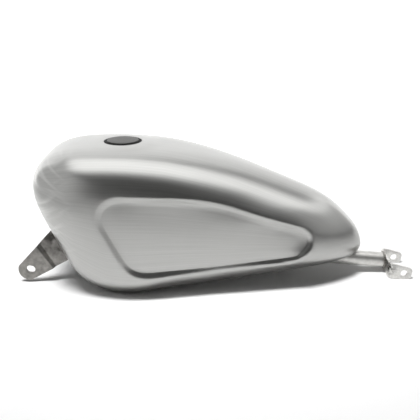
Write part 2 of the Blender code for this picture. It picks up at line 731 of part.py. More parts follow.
def cap_knob():
    """Pop-up knob with its stem, grooved for the detent and the clip."""
    groove = STEM_RADIUS - STEM_GROOVE_DEPTH
    low = CLIP_TOP - CLIP_THICKNESS
    profile = [
        (0, KNOB_TOP), (KNOB_RADIUS - KNOB_CHAMFER, KNOB_TOP), (KNOB_RADIUS, KNOB_TOP - KNOB_CHAMFER),
        (KNOB_RADIUS, KNOB_BOTTOM), (STEM_RADIUS, KNOB_BOTTOM),
        (STEM_RADIUS, DETENT_HEIGHT + SEAL_WIRE_RADIUS), (groove, DETENT_HEIGHT),
        (STEM_RADIUS, DETENT_HEIGHT - SEAL_WIRE_RADIUS),
        (STEM_RADIUS, CLIP_TOP + SEAT_GAP), (groove, CLIP_TOP + SEAT_GAP),
        (groove, low - SEAT_GAP), (STEM_RADIUS, low - SEAT_GAP), (STEM_RADIUS, low - STEM_TAIL), (0, low - STEM_TAIL),
    ]
    made = turned("cap_knob", profile, False, CAP_FRAME, KNOB_GREY)
    for side, offset in (("front", -DRIVE_PIN_OFFSET), ("rear", DRIVE_PIN_OFFSET)):
        socket = rod("pin_socket_" + side, DRIVE_PIN_RADIUS + SEAT_GAP, KNOB_BOTTOM - 1,
                     KNOB_BOTTOM + DRIVE_PIN_SOCKET, off_axis(offset))
        boolean(made, 'DIFFERENCE', socket)
    return made


def drive_pin(side, offset):
    """Dowel that turns the base with the knob and slides in the base."""
    return rod("drive_pin_" + side, DRIVE_PIN_RADIUS, KNOB_BOTTOM - DRIVE_PIN_REACH,
               KNOB_BOTTOM + DRIVE_PIN_SOCKET - SEAT_GAP, off_axis(offset), MACHINED_STEEL)


def cap_spring():
    """Compression spring round the stem, closed up while the knob is down."""
    low = BOSS_TOP + SEAT_GAP + SPRING_WIRE_RADIUS
    high = KNOB_BOTTOM - SEAT_GAP - SPRING_WIRE_RADIUS
    count = SPRING_TURNS * 10
    curve = bpy.data.curves.new("cap_spring", 'CURVE')
    curve.dimensions = '3D'
    curve.bevel_depth = SPRING_WIRE_RADIUS * MM
    curve.bevel_resolution = 1
    curve.use_fill_caps = True
    curve.materials.append(SPRING_STEEL)
    spline = curve.splines.new('POLY')
    spline.points.add(count)
    for i, point in enumerate(spline.points):
        turn = TURN * SPRING_TURNS * i / count
        height = low + (high - low) * i / count
        point.co = (SPRING_RADIUS * MM * math.cos(turn), SPRING_RADIUS * MM * math.sin(turn), height * MM, 1)
    made = bpy.data.objects.new("cap_spring", curve)
    parts.objects.link(made)
    made.matrix_world = CAP_FRAME
    print("least gap between spring turns, mm:", (high - low) / SPRING_TURNS - 2 * SPRING_WIRE_RADIUS)
    return made


def vent_valve():
    """Rubber mushroom that lets air in through the cap's boss."""
    low = SHANK_BOTTOM - SEAT_GAP
    profile = [
        (0, BOSS_TOP), (VENT_STEM_RADIUS, BOSS_TOP), (VENT_STEM_RADIUS, low), (VENT_HEAD_RADIUS, low),
        (VENT_HEAD_RADIUS * 0.7, low - VENT_HEAD_DEPTH * 0.75), (0, low - VENT_HEAD_DEPTH),
    ]
    return turned("cap_vent_valve", profile, False, off_axis(VENT_OFFSET), SEAL_RUBBER, SMALL_STEPS)


# Assembly

skin("left_skin", left_side)
skin("right_skin", right_side)
tunnel()
left_floor = floor_plate("left_floor", left_side)
floor_plate("right_floor", right_side)
petcock_bung(left_floor)
front_ear()
rear_tube()
rear_fork()
filler_neck()
washer("cap_gasket", RING_INNER, RING_OUTER, GASKET_TOP, GASKET_THICKNESS, SEAL_RUBBER)
washer("cap_slip_washer", RING_INNER, RING_OUTER, WASHER_TOP, WASHER_THICKNESS, SLIP_NYLON)
cap_base()
cap_knob()
drive_pin("front", -DRIVE_PIN_OFFSET)
drive_pin("rear", DRIVE_PIN_OFFSET)
cap_spring()
wire_ring("cap_stem_seal", SEAL_RADIUS, SEAL_WIRE_RADIUS, SEAL_HEIGHT, SEAL_RUBBER)
wire_ring("cap_detent_ring", SEAL_RADIUS, SEAL_WIRE_RADIUS, DETENT_HEIGHT, SPRING_STEEL)
washer("cap_retaining_clip", STEM_RADIUS - STEM_GROOVE_DEPTH + SEAT_GAP, CLIP_RADIUS, CLIP_TOP,
       CLIP_THICKNESS, SPRING_STEEL, SMALL_STEPS)
vent_valve()
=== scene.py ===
"""Looks of a raw steel motorcycle fuel tank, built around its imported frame.

Lengths in the classes are millimetres in the tank's own frame: +X runs to the tail, +Y to the
rider's right and +Z up. They become metres where a mesh is made.
"""
import logging
import math
from dataclasses import dataclass, field
from enum import Enum
from typing import Callable, Iterable, Optional, Sequence

import bpy
import numpy as np
from mathutils import Matrix, Vector


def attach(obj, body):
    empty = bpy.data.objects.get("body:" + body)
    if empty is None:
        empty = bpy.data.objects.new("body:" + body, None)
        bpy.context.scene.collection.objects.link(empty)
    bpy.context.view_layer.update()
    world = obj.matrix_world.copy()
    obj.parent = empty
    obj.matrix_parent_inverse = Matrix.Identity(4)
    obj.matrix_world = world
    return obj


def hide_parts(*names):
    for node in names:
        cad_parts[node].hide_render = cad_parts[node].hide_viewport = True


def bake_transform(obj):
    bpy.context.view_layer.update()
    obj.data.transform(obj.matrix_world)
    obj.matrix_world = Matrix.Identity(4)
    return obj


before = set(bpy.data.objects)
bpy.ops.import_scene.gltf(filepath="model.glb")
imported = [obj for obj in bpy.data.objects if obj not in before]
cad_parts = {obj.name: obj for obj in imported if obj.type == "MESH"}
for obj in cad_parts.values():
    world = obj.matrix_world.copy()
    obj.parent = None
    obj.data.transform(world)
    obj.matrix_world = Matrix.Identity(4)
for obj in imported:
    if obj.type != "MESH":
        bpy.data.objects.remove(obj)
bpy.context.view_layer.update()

Point = tuple[float, float]
Spot = tuple[float, float, float]
Settings = Optional[dict]
Piece = bpy.types.Object
Tree = bpy.types.NodeTree
Socket = bpy.types.NodeSocket

MM = 0.001
TURN = 2 * math.pi
# The cap's axis, the neck's upper rim, and the gap between pieces that fit together
CAP_X = -146.0
NECK_TOP = 221.5
GAP = 0.3
# Corners closer than this, in metres, are one corner
SAME_SPOT = 1e-6
SHARP = math.radians(35)
BELT_PATH = "belt_path"
SIDE_VIEW = Matrix.Rotation(TURN / 4, 4, 'X')
DOWN: Spot = (0, 0, -1)
TO_TAIL: Spot = (1, 0, 0)
TO_NOSE: Spot = (-1, 0, 0)
# Most of a noise's values lie between these two
NOISE_RANGE = {"From Min": 0.3, "From Max": 0.7}
# A range that starts whole and fades to nothing
FALLING = {"To Min": 1.0, "To Max": 0.0}
# Sockets of a colour Mix node, which shares their names with its other kinds
SHARE, FIRST, SECOND, MIXED = 0, 6, 7, 2
LOG = logging.getLogger("fuel_tank")


class Body(str, Enum):
    """Bodies of the frame that a piece can ride on."""

    TANK = "tank"
    SEAL = "cap_seal"
    RING = "cap_ring"
    CAP = "cap"
    KNOB = "knob"


class Slot(str, Enum):
    """Material slots of the record."""

    SHEET = "brushed_steel"
    MILL = "mill_steel"
    MACHINED = "machined_steel"
    KNOB = "knob_grey"
    RIM = "rim_black"
    RUBBER = "seal_rubber"
    NYLON = "slip_nylon"
    SPRING = "spring_steel"


class Lit(str, Enum):
    """What a light does to the paper it is linked with: light that alone, or all but that."""

    PAPER_ALONE = 'INCLUDE'
    ALL_BUT_PAPER = 'EXCLUDE'


# Finishes

def linear(code: str) -> tuple[float, float, float, float]:
    """Turn an sRGB hex colour into linear values.

    Args:
        code: six hex digits after a hash sign.

    Returns:
        Linear red, green and blue, and an alpha of one.
    """
    shares = [int(code[i:i + 2], 16) / 255 for i in (1, 3, 5)]
    light = [c / 12.92 if c <= 0.04045 else ((c + 0.055) / 1.055) ** 2.4 for c in shares]
    return (*light, 1.0)


def add_node(tree: Tree, kind: str, values: Settings = None, links: Settings = None,
             **settings: object) -> bpy.types.Node:
    """Add a node with its settings, socket values and links.

    Args:
        tree: node tree that takes the node.
        kind: the node's type.
        values: socket name or number to value.
        links: socket name or number to the output that feeds it.
        settings: the node's own properties.

    Returns:
        The new node.
    """
    node = tree.nodes.new(kind)
    for name, value in settings.items():
        setattr(node, name, value)
    for name, value in (values or {}).items():
        node.inputs[name].default_value = value
    for name, output in (links or {}).items():
        tree.links.new(output, node.inputs[name])
    return node


@dataclass(frozen=True)
class Finish:
    """A surface finish that makes one material."""

    name: str
    roughness: float
    metallic: float = 1.0
    specular: float = 0.5

    def start(self) -> tuple[bpy.types.Material, Tree, bpy.types.Node]:
        """Make the bare material.

        Returns:
            The material, its node tree and its Principled shader.
        """
        made = bpy.data.materials.new(self.name)
        made.use_nodes = True
        shader = made.node_tree.nodes["Principled BSDF"]
        shader.inputs["Roughness"].default_value = self.roughness
        shader.inputs["Metallic"].default_value = self.metallic
        shader.inputs["Specular IOR Level"].default_value = self.specular
        return made, made.node_tree, shader

    def grain(self, tree: Tree, sizes: Sequence[float], turn: Sequence[float] = (0, 0, 0),
              detail: float = 3.0, layer: str = "") -> Socket:
        """Noise over the piece's own coordinates.

        Args:
            tree: the material's node tree.
            sizes: the pattern's size along its own axes in millimetres.
            turn: how the pattern's axes are turned, in radians.
            detail: octaves of the noise.
            layer: the piece's layer of coordinates to follow in place of its axes.

        Returns:
            The noise's value.
        """
        if layer:
            place = add_node(tree, "ShaderNodeAttribute", attribute_name=layer).outputs["Vector"]
        else:
            place = add_node(tree, "ShaderNodeTexCoord").outputs["Object"]
        lengths = [size * MM for size in sizes]
        scaled = add_node(tree, "ShaderNodeMapping", {"Scale": lengths, "Rotation": turn}, {"Vector": place},
                          vector_type='TEXTURE')
        noise = add_node(tree, "ShaderNodeTexNoise", {"Scale": 1.0, "Detail": detail},
                         {"Vector": scaled.outputs["Vector"]})
        return noise.outputs["Fac"]


@dataclass(frozen=True)
class BrushedSheet(Finish):
    """Raw deep-drawn steel, dressed lengthwise with an abrasive belt and polished by hand at the nose."""

    dark: str = "#acacaa"
    light: str = "#b4b4b2"
    bright: str = "#d8d8d6"
    brushing: float = 0.2
    # Belt lines are about 0.1 mm apart; they are drawn 2 mm apart so that they show
    line: Spot = (160, 2, 2)
    line_relief: float = 0.001
    line_rough: float = 0.012
    cloud: Spot = (70, 40, 30)
    cloud_rough: float = 0.02
    # Hand strokes are about 1 mm wide; they are drawn 7 mm wide so that they show
    stroke: Spot = (7, 60, 50)
    stroke_turns: Point = (math.radians(62), math.radians(118))
    stroke_range: Point = (0.54, 0.8)
    stroke_share: float = 0.7
    stroke_rough: float = 0.1
    polish_start: float = -262
    polish_stop: float = -205

    def make(self) -> bpy.types.Material:
        """Make the material.

        Returns:
            The material.
        """
        made, tree, shader = self.start()
        belt = add_node(tree, "ShaderNodeTangent", direction_type='RADIAL', axis='X')
        tree.links.new(belt.outputs["Tangent"], shader.inputs["Tangent"])
        shader.inputs["Anisotropic"].default_value = self.brushing
        lines = self.grain(tree, self.line, detail=1, layer=BELT_PATH)
        clouds = self.grain(tree, self.cloud, detail=2)
        strokes = self.strokes(tree)
        share = add_node(tree, "ShaderNodeMapRange", NOISE_RANGE, {"Value": lines})
        fine = add_node(tree, "ShaderNodeMix", {FIRST: linear(self.dark), SECOND: linear(self.light)},
                        {SHARE: share.outputs["Result"]}, data_type='RGBA')
        marked = add_node(tree, "ShaderNodeMix", {SECOND: linear(self.bright)},
                          {SHARE: strokes, FIRST: fine.outputs[MIXED]}, data_type='RGBA')
        tree.links.new(marked.outputs[MIXED], shader.inputs["Base Color"])
        haze = {**NOISE_RANGE, "To Min": self.roughness, "To Max": self.roughness + self.cloud_rough}
        rough = add_node(tree, "ShaderNodeMapRange", haze, {"Value": clouds}).outputs["Result"]
        line_rise = {**NOISE_RANGE, "To Max": self.line_rough}
        for pattern, rise in ((lines, line_rise), (strokes, {"To Max": self.stroke_rough})):
            extra = add_node(tree, "ShaderNodeMapRange", rise, {"Value": pattern}).outputs["Result"]
            rough = add_node(tree, "ShaderNodeMath", None, {0: rough, 1: extra}, operation='ADD').outputs[0]
        tree.links.new(rough, shader.inputs["Roughness"])
        bump = add_node(tree, "ShaderNodeBump", {"Distance": self.line_relief * MM, "Strength": 1.0},
                        {"Height": lines})
        tree.links.new(bump.outputs["Normal"], shader.inputs["Normal"])
        return made

    def strokes(self, tree: Tree) -> Socket:
        """Bright diagonal strokes where the nose was polished by hand, and none behind it.

        Args:
            tree: the material's node tree.

        Returns:
            How bright the strokes are.
        """
        place = add_node(tree, "ShaderNodeTexCoord")
        along = add_node(tree, "ShaderNodeSeparateXYZ", None, {0: place.outputs["Object"]})
        ends = {"From Min": self.polish_start * MM, "From Max": self.polish_stop * MM, **FALLING}
        nose = add_node(tree, "ShaderNodeMapRange", ends, {"Value": along.outputs["X"]})
        ways = [self.grain(tree, self.stroke, (0, turn, 0), detail=1) for turn in self.stroke_turns]
        either = add_node(tree, "ShaderNodeMath", None, {0: ways[0], 1: ways[1]}, operation='MAXIMUM')
        low, high = self.stroke_range
        limits = {"From Min": low, "From Max": high, "To Max": self.stroke_share}
        marks = add_node(tree, "ShaderNodeMapRange", limits, {"Value": either.outputs[0]})
        both = {0: marks.outputs["Result"], 1: nose.outputs["Result"]}
        return add_node(tree, "ShaderNodeMath", None, both, operation='MULTIPLY').outputs[0]


@dataclass(frozen=True)
class PlainFinish(Finish):
    """A finish with a soft mottle and a fine grit."""

    dark: str = "#808080"
    light: str = "#8c8c8c"
    mottle: float = 6.0
    # Real grit is about 0.1 mm; it is drawn several times coarser so that it shows
    grit: float = 0.8
    grit_rough: float = 0.05
    depth: float = 0.01

    def colour(self, tree: Tree) -> Socket:
        """Colour of the surface.

        Args:
            tree: the material's node tree.

        Returns:
            The mottled colour.
        """
        clouds = self.grain(tree, (self.mottle,) * 3)
        share = add_node(tree, "ShaderNodeMapRange", NOISE_RANGE, {"Value": clouds})
        mix = add_node(tree, "ShaderNodeMix", {FIRST: linear(self.dark), SECOND: linear(self.light)},
                       {SHARE: share.outputs["Result"]}, data_type='RGBA')
        return mix.outputs[MIXED]

    def make(self) -> bpy.types.Material:
        """Make the material.

        Returns:
            The material.
        """
        made, tree, shader = self.start()
        grit = self.grain(tree, (self.grit,) * 3)
        tree.links.new(self.colour(tree), shader.inputs["Base Color"])
        low, high = self.roughness - self.grit_rough, self.roughness + self.grit_rough
        limits = {**NOISE_RANGE, "To Min": low, "To Max": high}
        rough = add_node(tree, "ShaderNodeMapRange", limits, {"Value": grit})
        tree.links.new(rough.outputs["Result"], shader.inputs["Roughness"])
        bump = add_node(tree, "ShaderNodeBump", {"Distance": self.depth * MM, "Strength": 1.0},
                        {"Height": grit})
        tree.links.new(bump.outputs["Normal"], shader.inputs["Normal"])
        return made


@dataclass(frozen=True)
class ScorchAndShadePlate(PlainFinish):
    """Plate darkened in blotches round a point: a weld's heat mark, and on the front ear painted shade under
    the nose.
    """

    # Colour of the dark blotches: a weld's heat mark, and on the front ear painted shade
    scorch_and_shade: str = "#3b3835"
    centre: Spot = (0, 0, 0)
    reach: float = 12.0
    full_share: float = 0.4
    blotch: float = 4.0
    blotch_range: Point = (0.4, 0.55)

    def colour(self, tree: Tree) -> Socket:
        """Colour of the plate, darkened in blotches near its centre.

        Args:
            tree: the material's node tree.

        Returns:
            The blotched colour.
        """
        place = add_node(tree, "ShaderNodeTexCoord")
        away = add_node(tree, "ShaderNodeVectorMath", {1: [c * MM for c in self.centre]},
                        {0: place.outputs["Object"]}, operation='DISTANCE')
        reach = self.reach * MM
        fade = {"From Min": self.full_share * reach, "From Max": reach, **FALLING}
        near = add_node(tree, "ShaderNodeMapRange", fade, {"Value": away.outputs["Value"]})
        low, high = self.blotch_range
        blotches = add_node(tree, "ShaderNodeMapRange", {"From Min": low, "From Max": high},
                            {"Value": self.grain(tree, (self.blotch,) * 3, detail=2)})
        both = {0: near.outputs["Result"], 1: blotches.outputs["Result"]}
        mark = add_node(tree, "ShaderNodeMath", None, both, operation='MULTIPLY')
        # The dark colour is a weld's heat mark on the fork, and painted shade on the front ear
        mix = add_node(tree, "ShaderNodeMix", {SECOND: linear(self.scorch_and_shade)},
                       {SHARE: mark.outputs[0], FIRST: super().colour(tree)}, data_type='RGBA')
        return mix.outputs[MIXED]


# Sheet steel brushed with a belt: soft bright bands, and fine lines that run along the tank
BELT_SHEET = BrushedSheet("belt_brushed_sheet_steel", roughness=0.278)
# Hot-rolled plate: a dull grey skin, with painted shade in dark blotches near its root under the nose
MILL_PLATE = ScorchAndShadePlate(
    "mill_finish_plate_steel", roughness=0.42, dark="#7a7875", light="#979591", mottle=7.0, grit=0.9,
    depth=0.02, scorch_and_shade="#4c4a47", centre=(-248, -38, 72), reach=40.0, blotch=22.0,
)
# Cold-drawn tube, wiped clean: pale and evenly satin
CLEAN_TUBE = PlainFinish(
    "drawn_tube_steel", roughness=0.5, dark="#c8c7c4", light="#d8d7d4", mottle=9.0, grit=0.9, depth=0.012,
)
# Plate cleaned to bright metal: pale and satin, with a small heat mark at its weld
CLEAN_PLATE = ScorchAndShadePlate(
    "cleaned_plate_steel", roughness=0.45, dark="#cbcac7", light="#e0dfdc", mottle=3.0, grit=0.9, depth=0.02,
    centre=(281, -24, 17), reach=15.0,
)
# Weld metal: shiny ripples that change from dark scale to bright steel
WELD_METAL = PlainFinish(
    "weld_metal", roughness=0.3, dark="#4f4c48", light="#b5b3ae", mottle=6.0, grit=0.9, depth=0.02,
)
# Steel off the lathe: even and fairly shiny
TURNED_STEEL = PlainFinish(
    "turned_steel", roughness=0.3, dark="#9c9c9b", light="#aaaaa9", mottle=9.0, grit=0.5, depth=0.004,
)
# Anodised aluminium: an even dark grey with a soft metal sheen
ANODISED_KNOB = PlainFinish(
    "grey_anodised_aluminium", roughness=0.45, metallic=0.5, dark="#41413f", light="#484846", mottle=5.0,
    grit=0.5, depth=0.004,
)
# Moulded nylon: matt black with hardly any highlight
BLACK_RIM = PlainFinish(
    "black_moulded_nylon", roughness=0.6, metallic=0.0, specular=0.12, dark="#161616", light="#1c1c1c",
    mottle=4.0, grit=0.5,
)
# Nitrile rubber: dull and almost black
NITRILE = PlainFinish(
    "nitrile_rubber", roughness=0.75, metallic=0.0, specular=0.3, dark="#1a1a1a", light="#212120",
    mottle=3.0, grit=0.4,
)
# Undyed nylon: cream-coloured and slightly waxy
NATURAL_NYLON = PlainFinish(
    "natural_nylon", roughness=0.5, metallic=0.0, dark="#d9d5c8", light="#e2dfd4", mottle=5.0, grit=0.5,
    depth=0.005,
)
# Drawn spring wire: bright and smooth
DRAWN_WIRE = PlainFinish(
    "drawn_spring_wire", roughness=0.25, dark="#a5a5a4", light="#b4b4b3", mottle=3.0, grit=0.4, depth=0.003,
)


# Modelling helpers

def deselect_all() -> None:
    """Leave edit mode and deselect every object."""
    if bpy.context.object and bpy.context.object.mode != 'OBJECT':
        bpy.ops.object.mode_set(mode='OBJECT')
    bpy.ops.object.select_all(action='DESELECT')


def add_shape(operator: Callable, name: str, **settings: object) -> Piece:
    """Add one of Blender's own shapes, lights or cameras, with nothing else selected.

    Args:
        operator: the operator that adds it.
        name: the new object's name.
        settings: the operator's settings.

    Returns:
        The new object.
    """
    deselect_all()
    operator(**settings)
    made = bpy.context.object
    made.name = name
    return made


def take(piece: Piece) -> None:
    """Make a piece the only selected and the active object.

    Args:
        piece: the object.
    """
    deselect_all()
    piece.select_set(True)
    bpy.context.view_layer.objects.active = piece


def edit_all(piece: Piece) -> None:
    """Enter edit mode on a piece with everything selected.

    Args:
        piece: the object.
    """
    take(piece)
    bpy.ops.object.mode_set(mode='EDIT')
    bpy.ops.mesh.select_mode(type='VERT')
    bpy.ops.mesh.select_all(action='SELECT')


def edit_edges(piece: Piece, test: Callable[[Vector], bool]) -> None:
    """Enter edit mode on a piece with the edges selected whose corners pass a test.

    Args:
        piece: the object.
        test: says of a corner's place in metres whether the corner is wanted.
    """
    edit_all(piece)
    bpy.ops.mesh.select_all(action='DESELECT')
    bpy.ops.object.mode_set(mode='OBJECT')
    for corner in piece.data.vertices:
        corner.select = test(corner.co)
    bpy.ops.object.mode_set(mode='EDIT')
    bpy.ops.mesh.select_mode(type='EDGE')


def face_out(piece: Piece) -> None:
    """Merge doubles and turn every face outwards.

    Args:
        piece: the object.
    """
    edit_all(piece)
    bpy.ops.mesh.remove_doubles(threshold=SAME_SPOT)
    bpy.ops.mesh.normals_make_consistent(inside=False)
    bpy.ops.object.mode_set(mode='OBJECT')


def smooth(piece: Piece, angle: float = 35) -> None:
    """Shade a piece smooth up to an angle in degrees."""
    take(piece)
    bpy.ops.object.shade_smooth_by_angle(angle=math.radians(angle))


def modify(piece: Piece, kind: str, **settings: object) -> None:
    """Add a modifier and apply it.

    Args:
        piece: object to change.
        kind: the modifier's type.
        settings: its properties.
    """
    take(piece)
    modifier = piece.modifiers.new(kind.lower(), kind)
    for name, value in settings.items():
        setattr(modifier, name, value)
    bpy.ops.object.modifier_apply(modifier=modifier.name)


def soften(piece: Piece, width: float) -> None:
    """Round the sharp edges of a piece by a width in millimetres."""
    modify(piece, 'BEVEL', width=width * MM, segments=2, limit_method='ANGLE', angle_limit=SHARP,
           use_clamp_overlap=True)


def cut(piece: Piece, tool: Piece, operation: str = 'DIFFERENCE') -> None:
    """Cut a piece with a tool, which is used up; the operation is the Boolean's."""
    modify(piece, 'BOOLEAN', operation=operation, solver='EXACT', object=tool)
    bpy.data.objects.remove(tool)


def shift(place: Matrix) -> Matrix:
    """The same frame with its place in metres.

    Args:
        place: frame in millimetres.

    Returns:
        The frame in metres.
    """
    made = place.copy()
    made.translation = place.translation * MM
    return made


def block(low: Sequence[float], high: Sequence[float], place: Matrix = Matrix.Identity(4)) -> Piece:
    """A box between two corners.

    Args:
        low: its lowest corner in the frame.
        high: its highest corner in the frame.
        place: frame in millimetres.

    Returns:
        The box.
    """
    made = add_shape(bpy.ops.mesh.primitive_cube_add, "block", size=1)
    size = [(b - a) * MM for a, b in zip(low, high)]
    middle = Vector([(a + b) / 2 * MM for a, b in zip(low, high)])
    made.data.transform(shift(place) @ Matrix.Translation(middle) @ Matrix.Diagonal((*size, 1)))
    return made


def bar(radius: float, low: float, high: float, place: Matrix, steps: int) -> Piece:
    """A round bar along a frame's Z axis.

    Args:
        radius: its radius.
        low: its lower end.
        high: its upper end.
        place: frame in millimetres.
        steps: facets round the axis.

    Returns:
        The bar.
    """
    made = add_shape(bpy.ops.mesh.primitive_cylinder_add, "bar", vertices=steps, radius=radius * MM,
                     depth=(high - low) * MM)
    made.data.transform(shift(place) @ Matrix.Translation((0, 0, (low + high) / 2 * MM)))
    return made


def plate(name: str, outline: Sequence[Point], low: float, high: float, place: Matrix) -> Piece:
    """A flat outline with a thickness: a filled circle pulled to the outline and extruded.

    Args:
        name: the piece's name.
        outline: corners in the frame's XY plane.
        low: lower face on the frame's Z axis.
        high: upper face on the frame's Z axis.
        place: frame in millimetres.

    Returns:
        The plate.
    """
    made = add_shape(bpy.ops.mesh.primitive_circle_add, name, vertices=len(outline), radius=MM,
                     fill_type='NGON')
    for corner, (u, v) in zip(made.data.vertices, outline):
        corner.co = (u * MM, v * MM, low * MM)
    edit_all(made)
    bpy.ops.mesh.extrude_region_move(TRANSFORM_OT_translate={"value": (0, 0, (high - low) * MM)})
    bpy.ops.object.mode_set(mode='OBJECT')
    made.data.transform(shift(place))
    face_out(made)
    return made


def turned(name: str, profile: Sequence[Point], place: Matrix, steps: int = 128) -> Piece:
    """A turned piece: a circle extruded ring by ring along its profile.

    Args:
        name: the piece's name.
        profile: radius and height of each ring; a profile that starts on the axis is solid.
        place: frame in millimetres whose Z axis is the turning axis.
        steps: facets round the axis.

    Returns:
        The turned piece.
    """
    solid = profile[0][0] == 0
    rings = [ring for ring in profile if ring[0] > 0]
    radius, height = rings[0]
    first = height
    made = add_shape(bpy.ops.mesh.primitive_circle_add, name, vertices=steps, radius=radius * MM,
                     fill_type='NGON' if solid else 'NOTHING')
    edit_all(made)
    for wide, high in rings[1:]:
        bpy.ops.mesh.extrude_region_move(TRANSFORM_OT_translate={"value": (0, 0, (high - height) * MM)})
        share = wide / radius
        bpy.ops.transform.resize(value=(share, share, 1), center_override=(0, 0, (high - first) * MM))
        radius, height = wide, high
    bpy.ops.object.mode_set(mode='OBJECT')
    if not solid:
        ends = [Vector((wide, high - first)) * MM for wide, high in (rings[0], rings[-1])]

        def on_end(spot: Vector) -> bool:
            """Whether a corner lies on the first or the last ring."""
            here = Vector((math.hypot(spot.x, spot.y), spot.z))
            return min((here - end).length for end in ends) < SAME_SPOT

        edit_edges(made, on_end)
        bpy.ops.mesh.bridge_edge_loops()
        bpy.ops.object.mode_set(mode='OBJECT')
    made.data.transform(shift(place) @ Matrix.Translation((0, 0, first * MM)))
    face_out(made)
    return made


def copied(name: str, node: str) -> Piece:
    """A copy of a CAD node's mesh, its doubles merged and its flat faces joined.

    Args:
        name: the piece's name.
        node: the CAD node.

    Returns:
        The copy.
    """
    made = bpy.data.objects.new(name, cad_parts[node].data.copy())
    bpy.context.scene.collection.objects.link(made)
    made.data.materials.clear()
    edit_all(made)
    bpy.ops.mesh.remove_doubles(threshold=SAME_SPOT)
    bpy.ops.mesh.dissolve_limited(angle_limit=math.radians(0.5))
    bpy.ops.object.mode_set(mode='OBJECT')
    return made


def arc(centre: Point, radius: float, start: float, stop: float, count: int = 12) -> list[Point]:
    """Points on an arc from one angle to another, both included."""
    turns = np.linspace(start, stop, count + 1)
    return [(centre[0] + radius * math.cos(t), centre[1] + radius * math.sin(t)) for t in turns]


def rounded(corners: Sequence[Spot], count: int = 10) -> list[Point]:
    """A closed outline whose corners are turned by arcs.

    Args:
        corners: place and radius of each corner.
        count: steps of each arc.

    Returns:
        The outline's points.
    """
    points: list[Point] = []
    for i, (u, v, radius) in enumerate(corners):
        here = Vector((u, v))
        back = (Vector(corners[i - 1][:2]) - here).normalized()
        ahead = (Vector(corners[(i + 1) % len(corners)][:2]) - here).normalized()
        half = back.angle(ahead) / 2
        centre = here + (back + ahead).normalized() * (radius / math.sin(half))
        first = here + back * (radius / math.tan(half)) - centre
        last = here + ahead * (radius / math.tan(half)) - centre
        start = math.atan2(first.y, first.x)
        sweep = (math.atan2(last.y, last.x) - start + math.pi) % TURN - math.pi
        points += arc(centre, radius, start, start + sweep, count)
    return points


def install(piece: Piece, finish: bpy.types.Material, body: Optional[Body],
            nodes: Iterable[str] = ()) -> None:
    """Dress a piece and tie it to the frame.

    Args:
        piece: finished object.
        finish: its material.
        body: body that it rides on, or nothing where it stretches between two.
        nodes: CAD nodes that it stands for.
    """
    piece.data.materials.clear()
    piece.data.materials.append(finish)
    if body:
        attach(piece, body.value)
    names = list(nodes)
    if names:
        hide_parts(*names)
    LOG.info("%s, %s: %d faces", piece.name, body.value if body else "stretching", len(piece.data.polygons))


# Sub-assemblies

